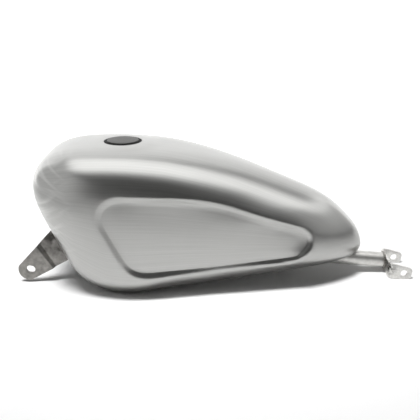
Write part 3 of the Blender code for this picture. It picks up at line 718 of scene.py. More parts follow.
@dataclass
class BodySurface:
    """The tank's outer form: a pillow over its side profile, with a dished panel on each side."""

    profile: Sequence[Point] = (
        (206, 104), (183, 125), (131, 153), (60, 182), (-12, 204.5), (-80, 217), (-144, 221), (-200, 220),
        (-250, 210), (-275, 187), (-277, 148), (-266, 117), (-248, 75), (-216, 18), (-163, -9), (-98, -10),
        (0, -9), (92, 0), (186, 19), (233, 40), (233.5, 62), (223, 84),
    )
    centre: Point = (-70, 100)
    half_width: float = 120
    # Squareness of the sections towards the tail, top, nose and belly
    fullness: Sequence[float] = (1.7, 3.1, 3.8, 2.5)
    # Place and radius of each corner of the panel's rim
    panel_corners: Sequence[Spot] = (
        (-198, 171, 34), (-20, 165, 330), (166, 91.2, 24), (125, 47, 28), (-131, 34, 44),
    )
    rim_step: float = 3
    panel_depth: float = 3.1
    # The panel is this much deeper towards its deep side
    extra_depth: float = 1.8
    deep_side: float = math.radians(-70)
    panel_wall: float = 9.5
    # The wall is this much wider along the belly and along the crown
    lower_wall: float = 1.5
    upper_wall: float = 1.0
    # From 0, a straight wall, to 1, an S
    wall_ease: float = 0.6
    # The wall's foot is averaged over this many steps either way
    foot_blend: int = 8
    # The floor follows the rim at its edge, and settles to a plain sheet by this power of the reach
    panel_settle: float = 6
    panel_middle: float = 111
    rim: np.ndarray = field(init=False)
    foot: np.ndarray = field(init=False)
    sheet: np.ndarray = field(init=False)

    def __post_init__(self) -> None:
        """Lay out the panel's rim, the foot of its wall and its curved floor."""
        coarse = np.array(rounded(self.panel_corners, count=24))
        rim = []
        for here, there in zip(coarse, np.roll(coarse, -1, axis=0)):
            count = max(1, int(np.linalg.norm(there - here) / self.rim_step))
            rim += [here + (there - here) * i / count for i in range(count)]
        self.rim = np.array(rim)
        along = np.roll(self.rim, -1, axis=0) - np.roll(self.rim, 1, axis=0)
        along /= np.linalg.norm(along, axis=1, keepdims=True)
        inward = np.stack([along[:, 1], -along[:, 0]], axis=1)
        rise = inward[:, 1:]
        wall = self.panel_wall + np.where(rise > 0, self.lower_wall, -self.upper_wall) * rise
        foot = self.rim + inward * wall
        shifts = range(-self.foot_blend, self.foot_blend + 1)
        self.foot = sum(np.roll(foot, shift, axis=0) for shift in shifts) / len(shifts)
        knots, reaches = self.polar(self.rim)
        width = self.width(knots, reaches / self.reach(knots))
        terms = self.terms(*self.spot(knots, reaches))
        slopes = np.linalg.lstsq(terms[:, 1:], width - self.panel_middle, rcond=None)[0]
        self.sheet = np.append(self.panel_middle, slopes)

    def polar(self, points: Sequence[Point]) -> tuple[np.ndarray, np.ndarray]:
        """Angles and reaches of side-view points about the centre, by rising angle.

        Args:
            points: X and Z of each point.

        Returns:
            The angles and the reaches.
        """
        offset = np.array(points, float) - self.centre
        angle = np.arctan2(offset[:, 1], offset[:, 0]) % TURN
        order = np.argsort(angle)
        return angle[order], np.hypot(offset[:, 0], offset[:, 1])[order]

    def spline(self, knots: np.ndarray, values: Sequence[float], query: np.ndarray) -> np.ndarray:
        """Smooth periodic curve through values at rising angles.

        Args:
            knots: rising angles.
            values: the curve's value at each.
            query: angles to read.

        Returns:
            The curve's values at the query.
        """
        values = np.asarray(values, float)
        after = np.diff(np.append(knots, knots[0] + TURN))
        before = np.roll(after, 1)
        count = len(knots)
        system = np.diag(2 * (before + after))
        for i in range(count):
            system[i, i - 1] += before[i]
            system[i, (i + 1) % count] += after[i]
        rise = (np.roll(values, -1) - values) / after
        bend = np.linalg.solve(system, 6 * (rise - np.roll(rise, 1)))
        query = (np.asarray(query, float) - knots[0]) % TURN + knots[0]
        k = np.searchsorted(knots, query, side='right') - 1
        span = after[k]
        b = (query - knots[k]) / span
        a = 1 - b
        nxt = (k + 1) % count
        sag = ((a ** 3 - a) * bend[k] + (b ** 3 - b) * bend[nxt]) * span ** 2 / 6
        return a * values[k] + b * values[nxt] + sag

    def reach(self, angle: np.ndarray) -> np.ndarray:
        """Distance from the centre to the side profile."""
        return self.spline(*self.polar(self.profile), angle)

    def outline_reach(self, outline: np.ndarray, angle: np.ndarray) -> np.ndarray:
        """Distance from the centre to one of the panel's outlines."""
        knots, reaches = self.polar(outline)
        return np.interp(angle, knots, reaches, period=TURN)

    def square(self, angle: np.ndarray) -> np.ndarray:
        """How square the body's section is in a direction."""
        return self.spline(np.arange(4) * TURN / 4, self.fullness, angle)

    def width(self, angle: np.ndarray, share: np.ndarray) -> np.ndarray:
        """Half width of the plain body; share runs from 0 at its centre to 1 on its profile."""
        square = self.square(angle)
        return self.half_width * np.maximum(1 - share ** square, 0) ** (1 / square)

    def spot(self, angle: np.ndarray, reach: np.ndarray) -> tuple[np.ndarray, np.ndarray]:
        """X and Z of a point given by its direction and distance from the centre."""
        return self.centre[0] + reach * np.cos(angle), self.centre[1] + reach * np.sin(angle)

    def terms(self, x: np.ndarray, z: np.ndarray) -> np.ndarray:
        """Terms of a gently curved sheet over the side view.

        Args:
            x: X of each point.
            z: Z of each point.

        Returns:
            One row of six terms for each point.
        """
        u = (x - self.centre[0]) / self.half_width
        v = (z - self.centre[1]) / self.half_width
        return np.stack([np.ones_like(u), u, v, u * u, u * v, v * v], axis=-1)

    def sink(self, angle: np.ndarray, reach: np.ndarray) -> np.ndarray:
        """How far a point is down the panel's wall.

        Args:
            angle: the point's direction from the centre.
            reach: its distance from the centre.

        Returns:
            0 outside the rim and 1 on the panel's floor.
        """
        rim = self.outline_reach(self.rim, angle)
        foot = self.outline_reach(self.foot, angle)
        return np.clip((rim - reach) / (rim - foot), 0, 1)

    def points(self, angle: np.ndarray, share: np.ndarray) -> np.ndarray:
        """Points of the right half: the plain body, with the panel's curved sheet sunk into it.

        Args:
            angle: each point's direction from the centre.
            share: its distance from the centre, as a share of the profile's.

        Returns:
            X, Y and Z of each point.
        """
        whole = self.reach(angle)
        reach = share * whole
        rim = self.outline_reach(self.rim, angle)
        sink = self.sink(angle, reach)
        x, z = self.spot(angle, reach)
        plain = self.width(angle, share)
        lift = self.width(angle, rim / whole) - self.terms(*self.spot(angle, rim)) @ self.sheet
        deeper = np.clip(np.cos(angle - self.deep_side), 0, 1) * (reach / rim) ** 2
        depth = self.panel_depth + self.extra_depth * deeper
        dish = self.terms(x, z) @ self.sheet + lift * (reach / rim) ** self.panel_settle - depth
        eased = sink + self.wall_ease * (sink ** 2 * (3 - 2 * sink) - sink)
        y = plain + (dish - plain) * eased
        return np.stack([x, y, z], axis=-1)


@dataclass
class TankShell:
    """The welded skin, the tunnel under it, the floor plates and the fuel tap's boss."""

    surface: BodySurface
    sheet: float = 1.4
    spokes: int = 256
    # Steps in which the profile and the rim are measured, to spread the spokes along them
    probes: int = 2880
    floor_rings: int = 10
    wall_rings: int = 10
    outer_rings: int = 44
    floor_start: float = -188
    floor_pitch: float = math.radians(5.25)
    tunnel_half: float = 34
    tunnel_corner: float = 16
    tunnel_roof: float = 55.3
    tunnel_pitch: float = math.radians(4.5)
    neck_hole: float = 29.6
    neck_flat: float = 62
    neck_reach: float = 30
    bung_place: Point = (-40, -50)
    bung_radius: float = 12.5
    bung_bore: float = 8
    bung_below: float = 5
    bung_above: float = 9
    bung_edge: float = 0.6
    bung_lead: float = 0.8
    bung_end: float = 1
    bung_pitch: float = 1.5
    bung_groove: float = 0.7
    # Tools that cut right through reach this far
    room: float = 400

    def spoke_angles(self) -> np.ndarray:
        """Directions of the mesh's spokes, evenly spread along the profile and the panel's rim.

        Returns:
            One angle for each spoke.
        """
        fine = np.linspace(0, TURN, self.probes + 1)
        spread = np.zeros(self.probes)
        for reach in (self.surface.reach(fine), self.surface.outline_reach(self.surface.rim, fine)):
            step = np.hypot(np.diff(reach * np.cos(fine)), np.diff(reach * np.sin(fine)))
            spread += step / step.sum() / 2
        return np.interp(np.arange(self.spokes) / self.spokes, np.append(0, np.cumsum(spread)), fine)

    def ring_shares(self, angle: np.ndarray) -> np.ndarray:
        """Share of every ring on every spoke, from the panel's middle to the profile.

        Args:
            angle: directions of the spokes.

        Returns:
            One row of shares for each ring.
        """
        whole = self.surface.reach(angle)
        rim = self.surface.outline_reach(self.surface.rim, angle) / whole
        foot = self.surface.outline_reach(self.surface.foot, angle) / whole
        square = self.surface.square(angle)
        rows = [foot * i / self.floor_rings for i in range(self.floor_rings + 1)]
        rows += [foot + (rim - foot) * (i + 1) / self.wall_rings for i in range(self.wall_rings)]
        first = np.arcsin(rim ** (square / 2))
        for i in range(1, self.outer_rings + 1):
            tilt = first + (TURN / 4 - first) * i / self.outer_rings
            rows.append(np.minimum(np.sin(tilt) ** (2 / square), 1))
        return np.array(rows)

    def body(self, name: str) -> Piece:
        """The closed outer form: a sphere whose poles are the panels' middles, pulled to the surface.

        Args:
            name: the form's name.

        Returns:
            The form.
        """
        angle = self.spoke_angles()
        shares = self.ring_shares(angle)
        half = len(shares) - 1
        made = add_shape(bpy.ops.mesh.primitive_uv_sphere_add, name, segments=self.spokes,
                         ring_count=2 * half, radius=1)
        place = np.empty(len(made.data.vertices) * 3)
        made.data.vertices.foreach_get("co", place)
        x, y, z = place.reshape(-1, 3).T
        ring = np.rint(np.arccos(np.clip(z, -1, 1)) / math.pi * 2 * half).astype(int)
        spoke = np.rint(np.arctan2(y, x) / TURN * self.spokes).astype(int) % self.spokes
        row = np.minimum(ring, 2 * half - ring)
        points = self.surface.points(angle[spoke], shares[row, spoke])
        points[:, 1] *= np.sign(half - ring)
        self.flatten(points)
        made.data.vertices.foreach_set("co", (points * MM).ravel())
        made.data.update()
        face_out(made)
        return made

    def flatten(self, points: np.ndarray) -> None:
        """Dress the crown flat round the filler neck, in place, so that the sheet meets the cap's rim.

        Args:
            points: X, Y and Z of each point.
        """
        away = np.hypot(points[:, 0] - CAP_X, points[:, 1])
        near = np.clip((self.neck_flat - away) / (self.neck_flat - self.neck_hole), 0, 1)
        near = near ** 2 * (3 - 2 * near) * (points[:, 2] > self.surface.centre[1])
        points[:, 2] += (NECK_TOP - points[:, 2]) * near

    def floor_frame(self) -> Matrix:
        """Frame of the floor plane, which rises towards the tail."""
        return Matrix.Translation((self.floor_start, 0, 0)) @ Matrix.Rotation(-self.floor_pitch, 4, 'Y')

    def tunnel_frame(self) -> Matrix:
        """Frame of the tunnel's roof, which falls towards the tail."""
        return Matrix.Translation((0, 0, self.tunnel_roof)) @ Matrix.Rotation(self.tunnel_pitch, 4, 'Y')

    def tunnel_space(self) -> Piece:
        """Tool that opens the tunnel.

        Returns:
            The tool.
        """
        half = self.tunnel_half + GAP
        radius = self.tunnel_corner + GAP
        left = arc((-half + radius, GAP - radius), radius, TURN / 2, TURN / 4)
        right = arc((half - radius, GAP - radius), radius, TURN / 4, 0)
        outline = [(-half, -self.room / 2), *left, *right, (half, -self.room / 2)]
        along = Matrix.Rotation(TURN / 4, 4, 'Z') @ Matrix.Rotation(TURN / 4, 4, 'X')
        return plate("tunnel_space", outline, -self.room, self.room, self.tunnel_frame() @ along)

    def skin(self) -> Piece:
        """Both stamped halves as one welded and dressed skin.

        Returns:
            The skin.
        """
        made = self.body("welded_skin")
        modify(made, 'SOLIDIFY', thickness=self.sheet * MM, offset=-1, use_even_offset=True)
        room = self.room
        cut(made, block((-room, -room, -room), (room * 2, room, 0), self.floor_frame()))
        cut(made, self.tunnel_space())
        low, high = NECK_TOP - self.neck_reach, NECK_TOP + self.neck_reach
        cut(made, bar(self.neck_hole, low, high, Matrix.Translation((CAP_X, 0, 0)), steps=128))
        smooth(made)
        self.lay_belt(made)
        return made

    def lay_belt(self, piece: Piece) -> None:
        """Keep the belt's path as a layer: along the tank, and around it from the belly to the crest.

        Args:
            piece: the skin.
        """
        chain = np.array(self.surface.profile, float)
        tail, nose = chain[:, 0].argmax(), chain[:, 0].argmin()
        crest = np.concatenate([chain[tail:], chain[:nose + 1]])[::-1]
        belly = chain[nose:tail + 1]
        spots = np.array([corner.co for corner in piece.data.vertices]) / MM
        top = np.interp(spots[:, 0], *crest.T)
        low = np.interp(spots[:, 0], *belly.T)
        height = (2 * spots[:, 2] - top - low) / np.maximum(top - low, 1)
        around = np.arctan2(height, np.abs(spots[:, 1]) / self.surface.half_width) * self.surface.half_width
        path = np.stack([spots[:, 0], around, np.sign(spots[:, 1]) * self.room], axis=1)
        layer = piece.data.attributes.new(BELT_PATH, 'FLOAT_VECTOR', 'POINT')
        layer.data.foreach_set("vector", (path * MM).ravel())

    def boss(self) -> Piece:
        """Turned boss for the fuel tap, with a threaded bore.

        Returns:
            The boss.
        """
        height = (self.bung_place[0] - self.floor_start) * math.tan(self.floor_pitch)
        low, high = -self.bung_below, self.bung_above
        radius, bore, edge, lead = self.bung_radius, self.bung_bore, self.bung_edge, self.bung_lead
        thread = []
        for i in range(int((high - low - 2 * self.bung_end) / self.bung_pitch)):
            start = low + self.bung_end + i * self.bung_pitch
            thread += [(bore, start), (bore + self.bung_groove, start + self.bung_pitch / 2)]
        profile = [
            (radius - edge, high), (radius, high - edge), (radius, low + edge), (radius - edge, low),
            (bore + lead, low), *thread, (bore, high - lead), (bore + lead, high),
        ]
        made = turned("fuel_tap_boss", profile, Matrix.Translation((*self.bung_place, height)), steps=96)
        smooth(made)
        return made

    def build(self) -> None:
        """Model and dress the shell."""
        sheet = BELT_SHEET.make()
        install(self.skin(), sheet, Body.TANK, ("left_skin", "right_skin"))
        for node in ("tunnel", "left_floor", "right_floor"):
            made = copied(node + "_sheet", node)
            smooth(made)
            install(made, sheet, Body.TANK, (node,))
        install(self.boss(), TURNED_STEEL.make(), Body.TANK, ("petcock_bung",))


@dataclass
class FrontEar:
    """Tapered, joggled ear plate with an oblong hole, welded on edge to the nose."""

    shell: TankShell
    thickness: float = 4.5
    root_offset: float = 34.6
    joggle: float = 5
    joggle_start: float = 31
    joggle_length: float = 5
    # The joggle's bends reach this share of its length beyond it
    joggle_blend: float = 0.2
    joggle_cuts: int = 13
    edge_round: float = 0.5
    axis_pitch: float = math.radians(31)
    end_centre: Point = (-298.4, 21.7)
    end_radius: float = 17.6
    upper_root: Point = (-246, 102)
    lower_root: Point = (-212, 50)
    hole_centre: Point = (-296.3, 22.7)
    hole_length: float = 14.3
    hole_width: float = 12.2
    hole_pitch: float = math.radians(-10)

    def outline(self) -> list[Point]:
        """Side view: a round end, and straight edges that run into the nose.

        Returns:
            The outline's points.
        """
        end = Vector(self.end_centre)
        turns = []
        for root, sign in ((self.lower_root, 1), (self.upper_root, -1)):
            away = end - Vector(root)
            lean = math.asin(self.end_radius / away.length)
            turns.append(math.atan2(away.y, away.x) + sign * (TURN / 4 - lean))
        sweep = (turns[1] - turns[0]) % TURN - TURN
        end_round = arc(self.end_centre, self.end_radius, turns[0], turns[0] + sweep, count=40)
        return [self.lower_root, *end_round, self.upper_root]

    def slot(self) -> list[Point]:
        """The oblong bolt hole.

        Returns:
            The hole's outline.
        """
        reach = (self.hole_length - self.hole_width) / 2
        along = Vector((math.cos(self.hole_pitch), math.sin(self.hole_pitch))) * reach
        centre = Vector(self.hole_centre)
        quarter = self.hole_pitch + TURN / 4
        radius = self.hole_width / 2
        far = arc(centre + along, radius, quarter, quarter - TURN / 2, count=24)
        near = arc(centre - along, radius, quarter - TURN / 2, quarter - TURN, count=24)
        return far + near

    def plate(self) -> Piece:
        """The plate, joggled outwards and trimmed to the nose.

        Returns:
            The plate.
        """
        place = Matrix.Translation((0, -self.root_offset, 0)) @ SIDE_VIEW
        made = plate("front_ear_plate", self.outline(), 0, self.thickness, place)
        cut(made, plate("ear_slot", self.slot(), -self.thickness, 2 * self.thickness, place))
        along = Vector((math.cos(self.axis_pitch), 0, math.sin(self.axis_pitch)))
        hole = Vector((self.hole_centre[0], 0, self.hole_centre[1]))
        blend = self.joggle_blend
        edit_all(made)
        for share in np.linspace(-blend, 1 + blend, self.joggle_cuts):
            bpy.ops.mesh.select_all(action='SELECT')
            spot = (hole + along * (self.joggle_start + self.joggle_length * share)) * MM
            bpy.ops.mesh.bisect(plane_co=spot, plane_no=along)
        bpy.ops.object.mode_set(mode='OBJECT')
        for corner in made.data.vertices:
            distance = (corner.co / MM - hole).dot(along)
            share = (self.joggle_start + self.joggle_length - distance) / self.joggle_length
            share = min(max((share + blend) / (1 + 2 * blend), 0), 1)
            corner.co.y -= self.joggle * MM * share * share * (3 - 2 * share)
        cut(made, self.shell.body("nose_form"))
        soften(made, self.edge_round)
        smooth(made, 40)
        return made

    def build(self) -> None:
        """Model and dress the ear."""
        install(self.plate(), MILL_PLATE.make(), Body.TANK, ("front_ear",))


@dataclass
class RearMount:
    """Tube under the tail that carries a forked strap, with the weld between them."""

    shell: TankShell
    tube_radius: float = 12
    tube_wall: float = 2.5
    tube_start: float = 110
    tube_edge: float = 0.5
    face: float = 279
    end: float = 316.7
    half_width: float = 33.6
    base: float = 0.6
    thickness: float = 4
    edge_round: float = 0.5
    bend: float = 9
    root_height: float = 25
    end_height: float = 17
    end_lean: float = 2.5
    corner_radius: float = 6
    hole_radius: float = 5.5
    hole_setback: float = 14
    hole_height: float = 9.7
    bead_offset: float = 0.3
    bead_radius: float = 1.9
    bead_setback: float = 1.6
    # Height, count round the tube and start of each ripple in the bead
    bead_ripples: Sequence[Spot] = ((0.06, 30, 0), (0.05, 7, 1))

    def tube_frame(self) -> Matrix:
        """Frame of the tube, which runs along its X axis.

        Returns:
            The frame.
        """
        along = self.tube_start / math.cos(self.shell.tunnel_pitch)
        drop = self.shell.sheet + GAP + self.tube_radius
        return self.shell.tunnel_frame() @ Matrix.Translation((along, 0, -drop))

    def tube(self) -> Piece:
        """The drawn tube, its rear end cut to the fork's web.

        Returns:
            The tube.
        """
        length = (self.face - self.tube_start) / math.cos(self.shell.tunnel_pitch) + self.tube_radius
        bore = self.tube_radius - self.tube_wall
        edge = self.tube_edge
        profile = [
            (self.tube_radius, length), (self.tube_radius, edge), (self.tube_radius - edge, 0),
            (bore + edge, 0), (bore, edge), (bore, length),
        ]
        place = self.tube_frame() @ Matrix.Rotation(TURN / 4, 4, 'Y')
        made = turned("rear_mount_tube", profile, place, steps=96)
        room = self.shell.room
        cut(made, block((self.face - GAP, -room, -room), (room * 2, room, room)))
        smooth(made)
        return made

    def fork(self) -> Piece:
        """The strap bent to a U, its two ears tapered and drilled.

        Returns:
            The strap.
        """
        bend, edge, face, end = self.bend, self.half_width, self.face, self.end
        inside = bend - self.thickness
        inner = edge - self.thickness
        strap = [
            (end, -edge), *arc((face + bend, -edge + bend), bend, -TURN / 4, -TURN / 2),
            *arc((face + bend, edge - bend), bend, TURN / 2, TURN / 4), (end, edge),
            (end, inner), *arc((face + bend, edge - bend), inside, TURN / 4, TURN / 2),
            *arc((face + bend, -edge + bend), inside, -TURN / 2, -TURN / 4), (end, -inner),
        ]
        made = plate("rear_fork_strap", strap, self.base, self.root_height * 1.5, Matrix.Identity(4))
        taper = rounded([
            (face - bend, -bend, 1), (face - bend, self.root_height, 1),
            (face + bend, self.root_height, bend), (end, self.end_height, self.corner_radius),
            (end - self.end_lean, 0, 1), (end - bend, -bend, 1),
        ])
        lift = Matrix.Translation((0, 0, self.base))
        cut(made, plate("fork_side", taper, -edge * 2, edge * 2, lift @ SIDE_VIEW), 'INTERSECT')
        hole = Matrix.Translation((end - self.hole_setback, 0, self.base + self.hole_height)) @ SIDE_VIEW
        cut(made, bar(self.hole_radius, -edge * 2, edge * 2, hole, steps=48))
        soften(made, self.edge_round)
        smooth(made, 40)
        return made

    def weld(self) -> Piece:
        """Rippled bead round the tube where it meets the fork's web.

        Returns:
            The bead.
        """
        ring = (self.tube_radius + self.bead_offset) * MM
        made = add_shape(bpy.ops.mesh.primitive_torus_add, "rear_weld_bead", major_segments=144,
                         minor_segments=14, major_radius=ring, minor_radius=self.bead_radius * MM)
        for corner in made.data.vertices:
            turn = math.atan2(corner.co.y, corner.co.x)
            waves = [high * math.sin(count * turn + start) for high, count, start in self.bead_ripples]
            out = Vector((corner.co.x, corner.co.y, 0)).normalized() * ring
            corner.co = out + (corner.co - out) * (1 + sum(waves))
        away = (self.face - self.bead_setback - self.tube_start) / math.cos(self.shell.tunnel_pitch)
        middle = self.tube_frame() @ Vector((away, 0, 0))
        made.data.transform(Matrix.Translation(middle * MM) @ Matrix.Rotation(TURN / 4, 4, 'Y'))
        smooth(made, 60)
        return made

    def build(self) -> None:
        """Model and dress the rear mount."""
        install(self.tube(), CLEAN_TUBE.make(), Body.TANK, ("rear_tube",))
        install(self.fork(), CLEAN_PLATE.make(), Body.TANK, ("rear_fork",))
        install(self.weld(), WELD_METAL.make(), Body.TANK)


@dataclass
class PopUpCap:
    """Filler neck and flush pop-up screw cap; heights are above the neck's upper rim."""

    sheet: float = 1.4
    neck_radius: float = 32
    neck_bore: float = 23
    neck_depth: float = 30
    skin_gap: float = 0.1
    seat_ease: float = 0.3
    radius: float = 29
    rim_rise: float = 0.5
    head_depth: float = 10.5
    rim_width: float = 4.2
    # Step in and down of each ring of the rounded rim
    rim_round: Sequence[Point] = ((0.8, 0), (0.2, 0.3), (0, 0.9))
    cup_ease: float = 0.5
    edge: float = 0.4
    lead: float = 0.6
    shank_lead: float = 0.8
    cup_depth: float = 8.2
    shank_depth: float = 14
    pocket_radius: float = 15.5
    boss_depth: float = 7
    # Heights of the two wire rings, as shares of the boss's depth
    seal_share: float = 0.3
    detent_share: float = 0.72
    gasket: float = 1.8
    washer: float = 0.6
    ring_room: float = 1
    knob_rise: float = 1.3
    # Step in and down of each ring of the knob's rounded edge
    knob_round: Sequence[Point] = ((1.2, 0), (0.42, 0.12), (0.14, 0.35), (0, 0.7))
    knob_ease: float = 0.6
    knob_rings: int = 8
    stem_fillet: float = 1
    stem_tip: float = 2
    travel: float = 12
    stem: float = 4
    groove: float = 0.7
    groove_flat: float = 0.2
    seal_wire: float = 0.75
    seal_press: float = 0.97
    clip_radius: float = 7
    clip_thickness: float = 1
    # Width of the clip's mouth, as a share of its bore
    clip_mouth: float = 0.7
    clip_edge: float = 0.15
    snap_opening: float = 24
    pin_radius: float = 2
    pin_offset: float = 19.1
    pin_socket: float = 4
    pin_reach: float = 15.5
    vent_offset: float = 10.5
    vent_stem: float = 1.3
    vent_ease: float = 0.3
    vent_head: float = 3.2
    # Share of the head's radius, and drop, of each ring of the mushroom's dome
    vent_dome: Sequence[Point] = ((0.9375, 0), (1, 0.25), (0.9, 0.8), (0.6, 1.3), (0.3, 1.55), (0, 1.6))
    spring_radius: float = 7
    spring_wire: float = 0.5
    spring_turns: int = 4
    thread_pitch: float = 3
    thread_depth: float = 0.9
    neck_thread_depth: float = 0.8
    # Half widths of a thread groove at the wall and at its root
    thread_mouth: float = 0.9
    thread_root: float = 0.3
    flutes: int = 44
    flute_depth: float = 0.6
    # Flutes end this far above the knob's lower face and below its top
    flute_ends: Point = (0.5, 1.05)

    def __post_init__(self) -> None:
        """Work out the heights that the pieces share."""
        self.place = Matrix.Translation((CAP_X, 0, NECK_TOP))
        self.knob_radius = self.radius - self.rim_width - GAP
        self.head_bottom = self.rim_rise - self.head_depth
        self.cup_floor = self.rim_rise - self.cup_depth
        self.shank_bottom = self.head_bottom - self.shank_depth
        self.boss_top = self.shank_bottom + self.boss_depth
        self.washer_top = self.head_bottom - GAP
        self.gasket_top = self.washer_top - self.washer - GAP
        self.seat = self.gasket_top - self.gasket - GAP
        self.seal_radius = self.stem + GAP + self.seal_wire
        self.seal_height = self.shank_bottom + self.boss_depth * self.seal_share
        self.detent_height = self.shank_bottom + self.boss_depth * self.detent_share
        self.clip_top = self.shank_bottom - self.travel - GAP
        self.knob_bottom = self.cup_floor + GAP
        self.knob_top = self.rim_rise + self.knob_rise

    def beside(self, offset: float) -> Matrix:
        """A frame beside the cap's axis."""
        return self.place @ Matrix.Translation((offset, 0, 0))

    def thread(self, radius: float, top: float, low: float, depth: float) -> list[Point]:
        """Thread grooves down a wall.

        Args:
            radius: the wall's radius.
            top: its upper end.
            low: its lower end.
            depth: depth of the grooves, negative where they are cut inwards.

        Returns:
            The wall's profile, from its top to its lower end.
        """
        wall = [(radius, top)]
        height = top - self.thread_pitch / 2
        while height - self.thread_pitch / 2 > low:
            wall += [(radius, height + self.thread_mouth), (radius + depth, height + self.thread_root),
                     (radius + depth, height - self.thread_root), (radius, height - self.thread_mouth)]
            height -= self.thread_pitch
        return [*wall, (radius, low)]

    def neck(self) -> Piece:
        """Turned neck under the skin's edge, with a threaded bore.

        Returns:
            The neck.
        """
        seat = self.radius + GAP
        lead = self.lead
        bore = self.thread(self.neck_bore, self.seat - lead, -self.neck_depth + lead, self.neck_thread_depth)
        top = -self.sheet - self.skin_gap
        profile = [
            (seat + self.seat_ease, top), (self.neck_radius, top), (self.neck_radius, -self.neck_depth),
            (self.neck_bore + lead, -self.neck_depth), *bore[::-1], (self.neck_bore + lead, self.seat),
            (seat, self.seat), (seat, top - self.seat_ease),
        ]
        made = turned("filler_neck_turned", profile, self.place)
        smooth(made)
        return made

    def ring(self, name: str, top: float, thickness: float) -> Piece:
        """A flat ring under the cap's head, with eased edges.

        Args:
            name: the piece's name.
            top: its upper face.
            thickness: its thickness.

        Returns:
            The ring.
        """
        inner, outer = self.neck_bore + self.ring_room, self.radius - GAP
        ease = thickness / 4
        low = top - thickness
        profile = [(inner + ease, top), (outer - ease, top), (outer, top - ease), (outer, low + ease),
                   (outer - ease, low), (inner + ease, low), (inner, low + ease), (inner, top - ease)]
        made = turned(name, profile, self.place)
        smooth(made, 50)
        return made

    def base(self) -> Piece:
        """Threaded cup that holds the knob.

        Returns:
            The cup.
        """
        bore = self.stem + GAP
        cup = self.knob_radius + GAP
        groove = self.seal_radius + self.seal_wire + GAP
        room = self.seal_wire + GAP
        edge, low, lead = self.edge, self.shank_bottom, self.shank_lead
        shank = self.neck_bore - GAP
        rim = [(self.radius - step, self.rim_rise - drop) for step, drop in self.rim_round]
        profile = [
            (cup + self.cup_ease, self.rim_rise), *rim, (self.radius, self.head_bottom + edge),
            (self.radius - edge, self.head_bottom),
            *self.thread(shank, self.head_bottom, low + lead, -self.thread_depth),
            (shank - lead, low), (bore + edge, low), (bore, low + edge),
        ]
        for height in (self.seal_height, self.detent_height):
            down, up = height - room, height + room
            profile += [(bore, down), (groove, down), (groove, up), (bore, up)]
        profile += [
            (bore, self.boss_top), (self.pocket_radius, self.boss_top), (self.pocket_radius, self.cup_floor),
            (cup, self.cup_floor), (cup, self.rim_rise - self.cup_ease),
        ]
        made = turned("cap_threaded_base", profile, self.place)
        for offset, radius in ((-self.pin_offset, self.pin_radius), (self.pin_offset, self.pin_radius),
                               (self.vent_offset, self.vent_stem)):
            cut(made, bar(radius + GAP, -self.radius * 2, self.radius * 2, self.beside(offset), steps=32))
        smooth(made)
        return made

    def knob(self) -> Piece:
        """Pop-up knob with a fluted edge and a grooved stem.

        Returns:
            The knob.
        """
        radius, stem, ease, wire = self.knob_radius, self.stem, self.knob_ease, self.seal_wire
        top, bottom, detent = self.knob_top, self.knob_bottom, self.detent_height
        clip_top, clip_low = self.clip_top + GAP, self.clip_top - self.clip_thickness - GAP
        tip = self.clip_top - self.clip_thickness - self.stem_tip
        groove, flat = stem - self.groove, self.groove_flat
        edge = [(radius - step, top - drop) for step, drop in self.knob_round]
        heights = np.linspace(edge[-1][1], bottom + ease, self.knob_rings)
        profile = [
            (0, top), (radius / 2, top), *edge, *[(radius, height) for height in heights[1:]],
            (radius - ease, bottom), (stem + self.stem_fillet, bottom), (stem, bottom - ease),
            (stem, detent + wire), (groove, detent + flat), (groove, detent - flat), (stem, detent - wire),
            (stem, clip_top), (groove, clip_top), (groove, clip_low), (stem, clip_low),
            (stem, tip + ease), (stem - ease, tip), (0, tip),
        ]
        made = turned("cap_fluted_knob", profile, self.place, steps=self.flutes * 6)
        low, high = NECK_TOP + bottom + self.flute_ends[0], NECK_TOP + top - self.flute_ends[1]
        for corner in made.data.vertices:
            x, y, z = corner.co / MM
            out = Vector((x - CAP_X, y, 0))
            if out.length > radius - ease / 10 and low < z < high:
                wave = 0.5 + 0.5 * math.cos(self.flutes * math.atan2(out.y, out.x))
                corner.co -= out.normalized() * self.flute_depth * wave * MM
        for offset in (-self.pin_offset, self.pin_offset):
            socket = self.beside(offset)
            cut(made, bar(self.pin_radius + GAP, bottom - ease, bottom + self.pin_socket, socket, steps=32))
        smooth(made, 40)
        return made

    def pin(self, name: str, offset: float) -> Piece:
        """Dowel that turns the base with the knob.

        Args:
            name: the piece's name.
            offset: its place beside the cap's axis.

        Returns:
            The dowel.
        """
        low = self.knob_bottom - self.pin_reach
        high = self.knob_bottom + self.pin_socket - GAP
        radius, edge = self.pin_radius, self.edge
        profile = [(0, high), (radius - edge, high), (radius, high - edge), (radius, low + edge),
                   (radius - edge, low), (0, low)]
        made = turned(name, profile, self.beside(offset), steps=40)
        smooth(made, 50)
        return made

    def spring(self) -> Piece:
        """Compression spring round the stem: a wire section screwed up the axis.

        Returns:
            The spring.
        """
        low = self.boss_top + GAP + self.spring_wire
        high = self.knob_bottom - GAP - self.spring_wire
        made = add_shape(bpy.ops.mesh.primitive_circle_add, "cap_wound_spring", vertices=12,
                         radius=self.spring_wire * MM, fill_type='NOTHING')
        made.data.transform(Matrix.Translation((self.spring_radius * MM, 0, low * MM)) @ SIDE_VIEW)
        modify(made, 'SCREW', axis='Z', angle=TURN, iterations=self.spring_turns, steps=40, render_steps=40,
               screw_offset=(high - low) / self.spring_turns * MM, use_merge_vertices=False)
        edit_all(made)
        bpy.ops.mesh.fill_holes(sides=0)
        bpy.ops.object.mode_set(mode='OBJECT')
        made.data.transform(shift(self.place))
        face_out(made)
        smooth(made, 60)
        return made

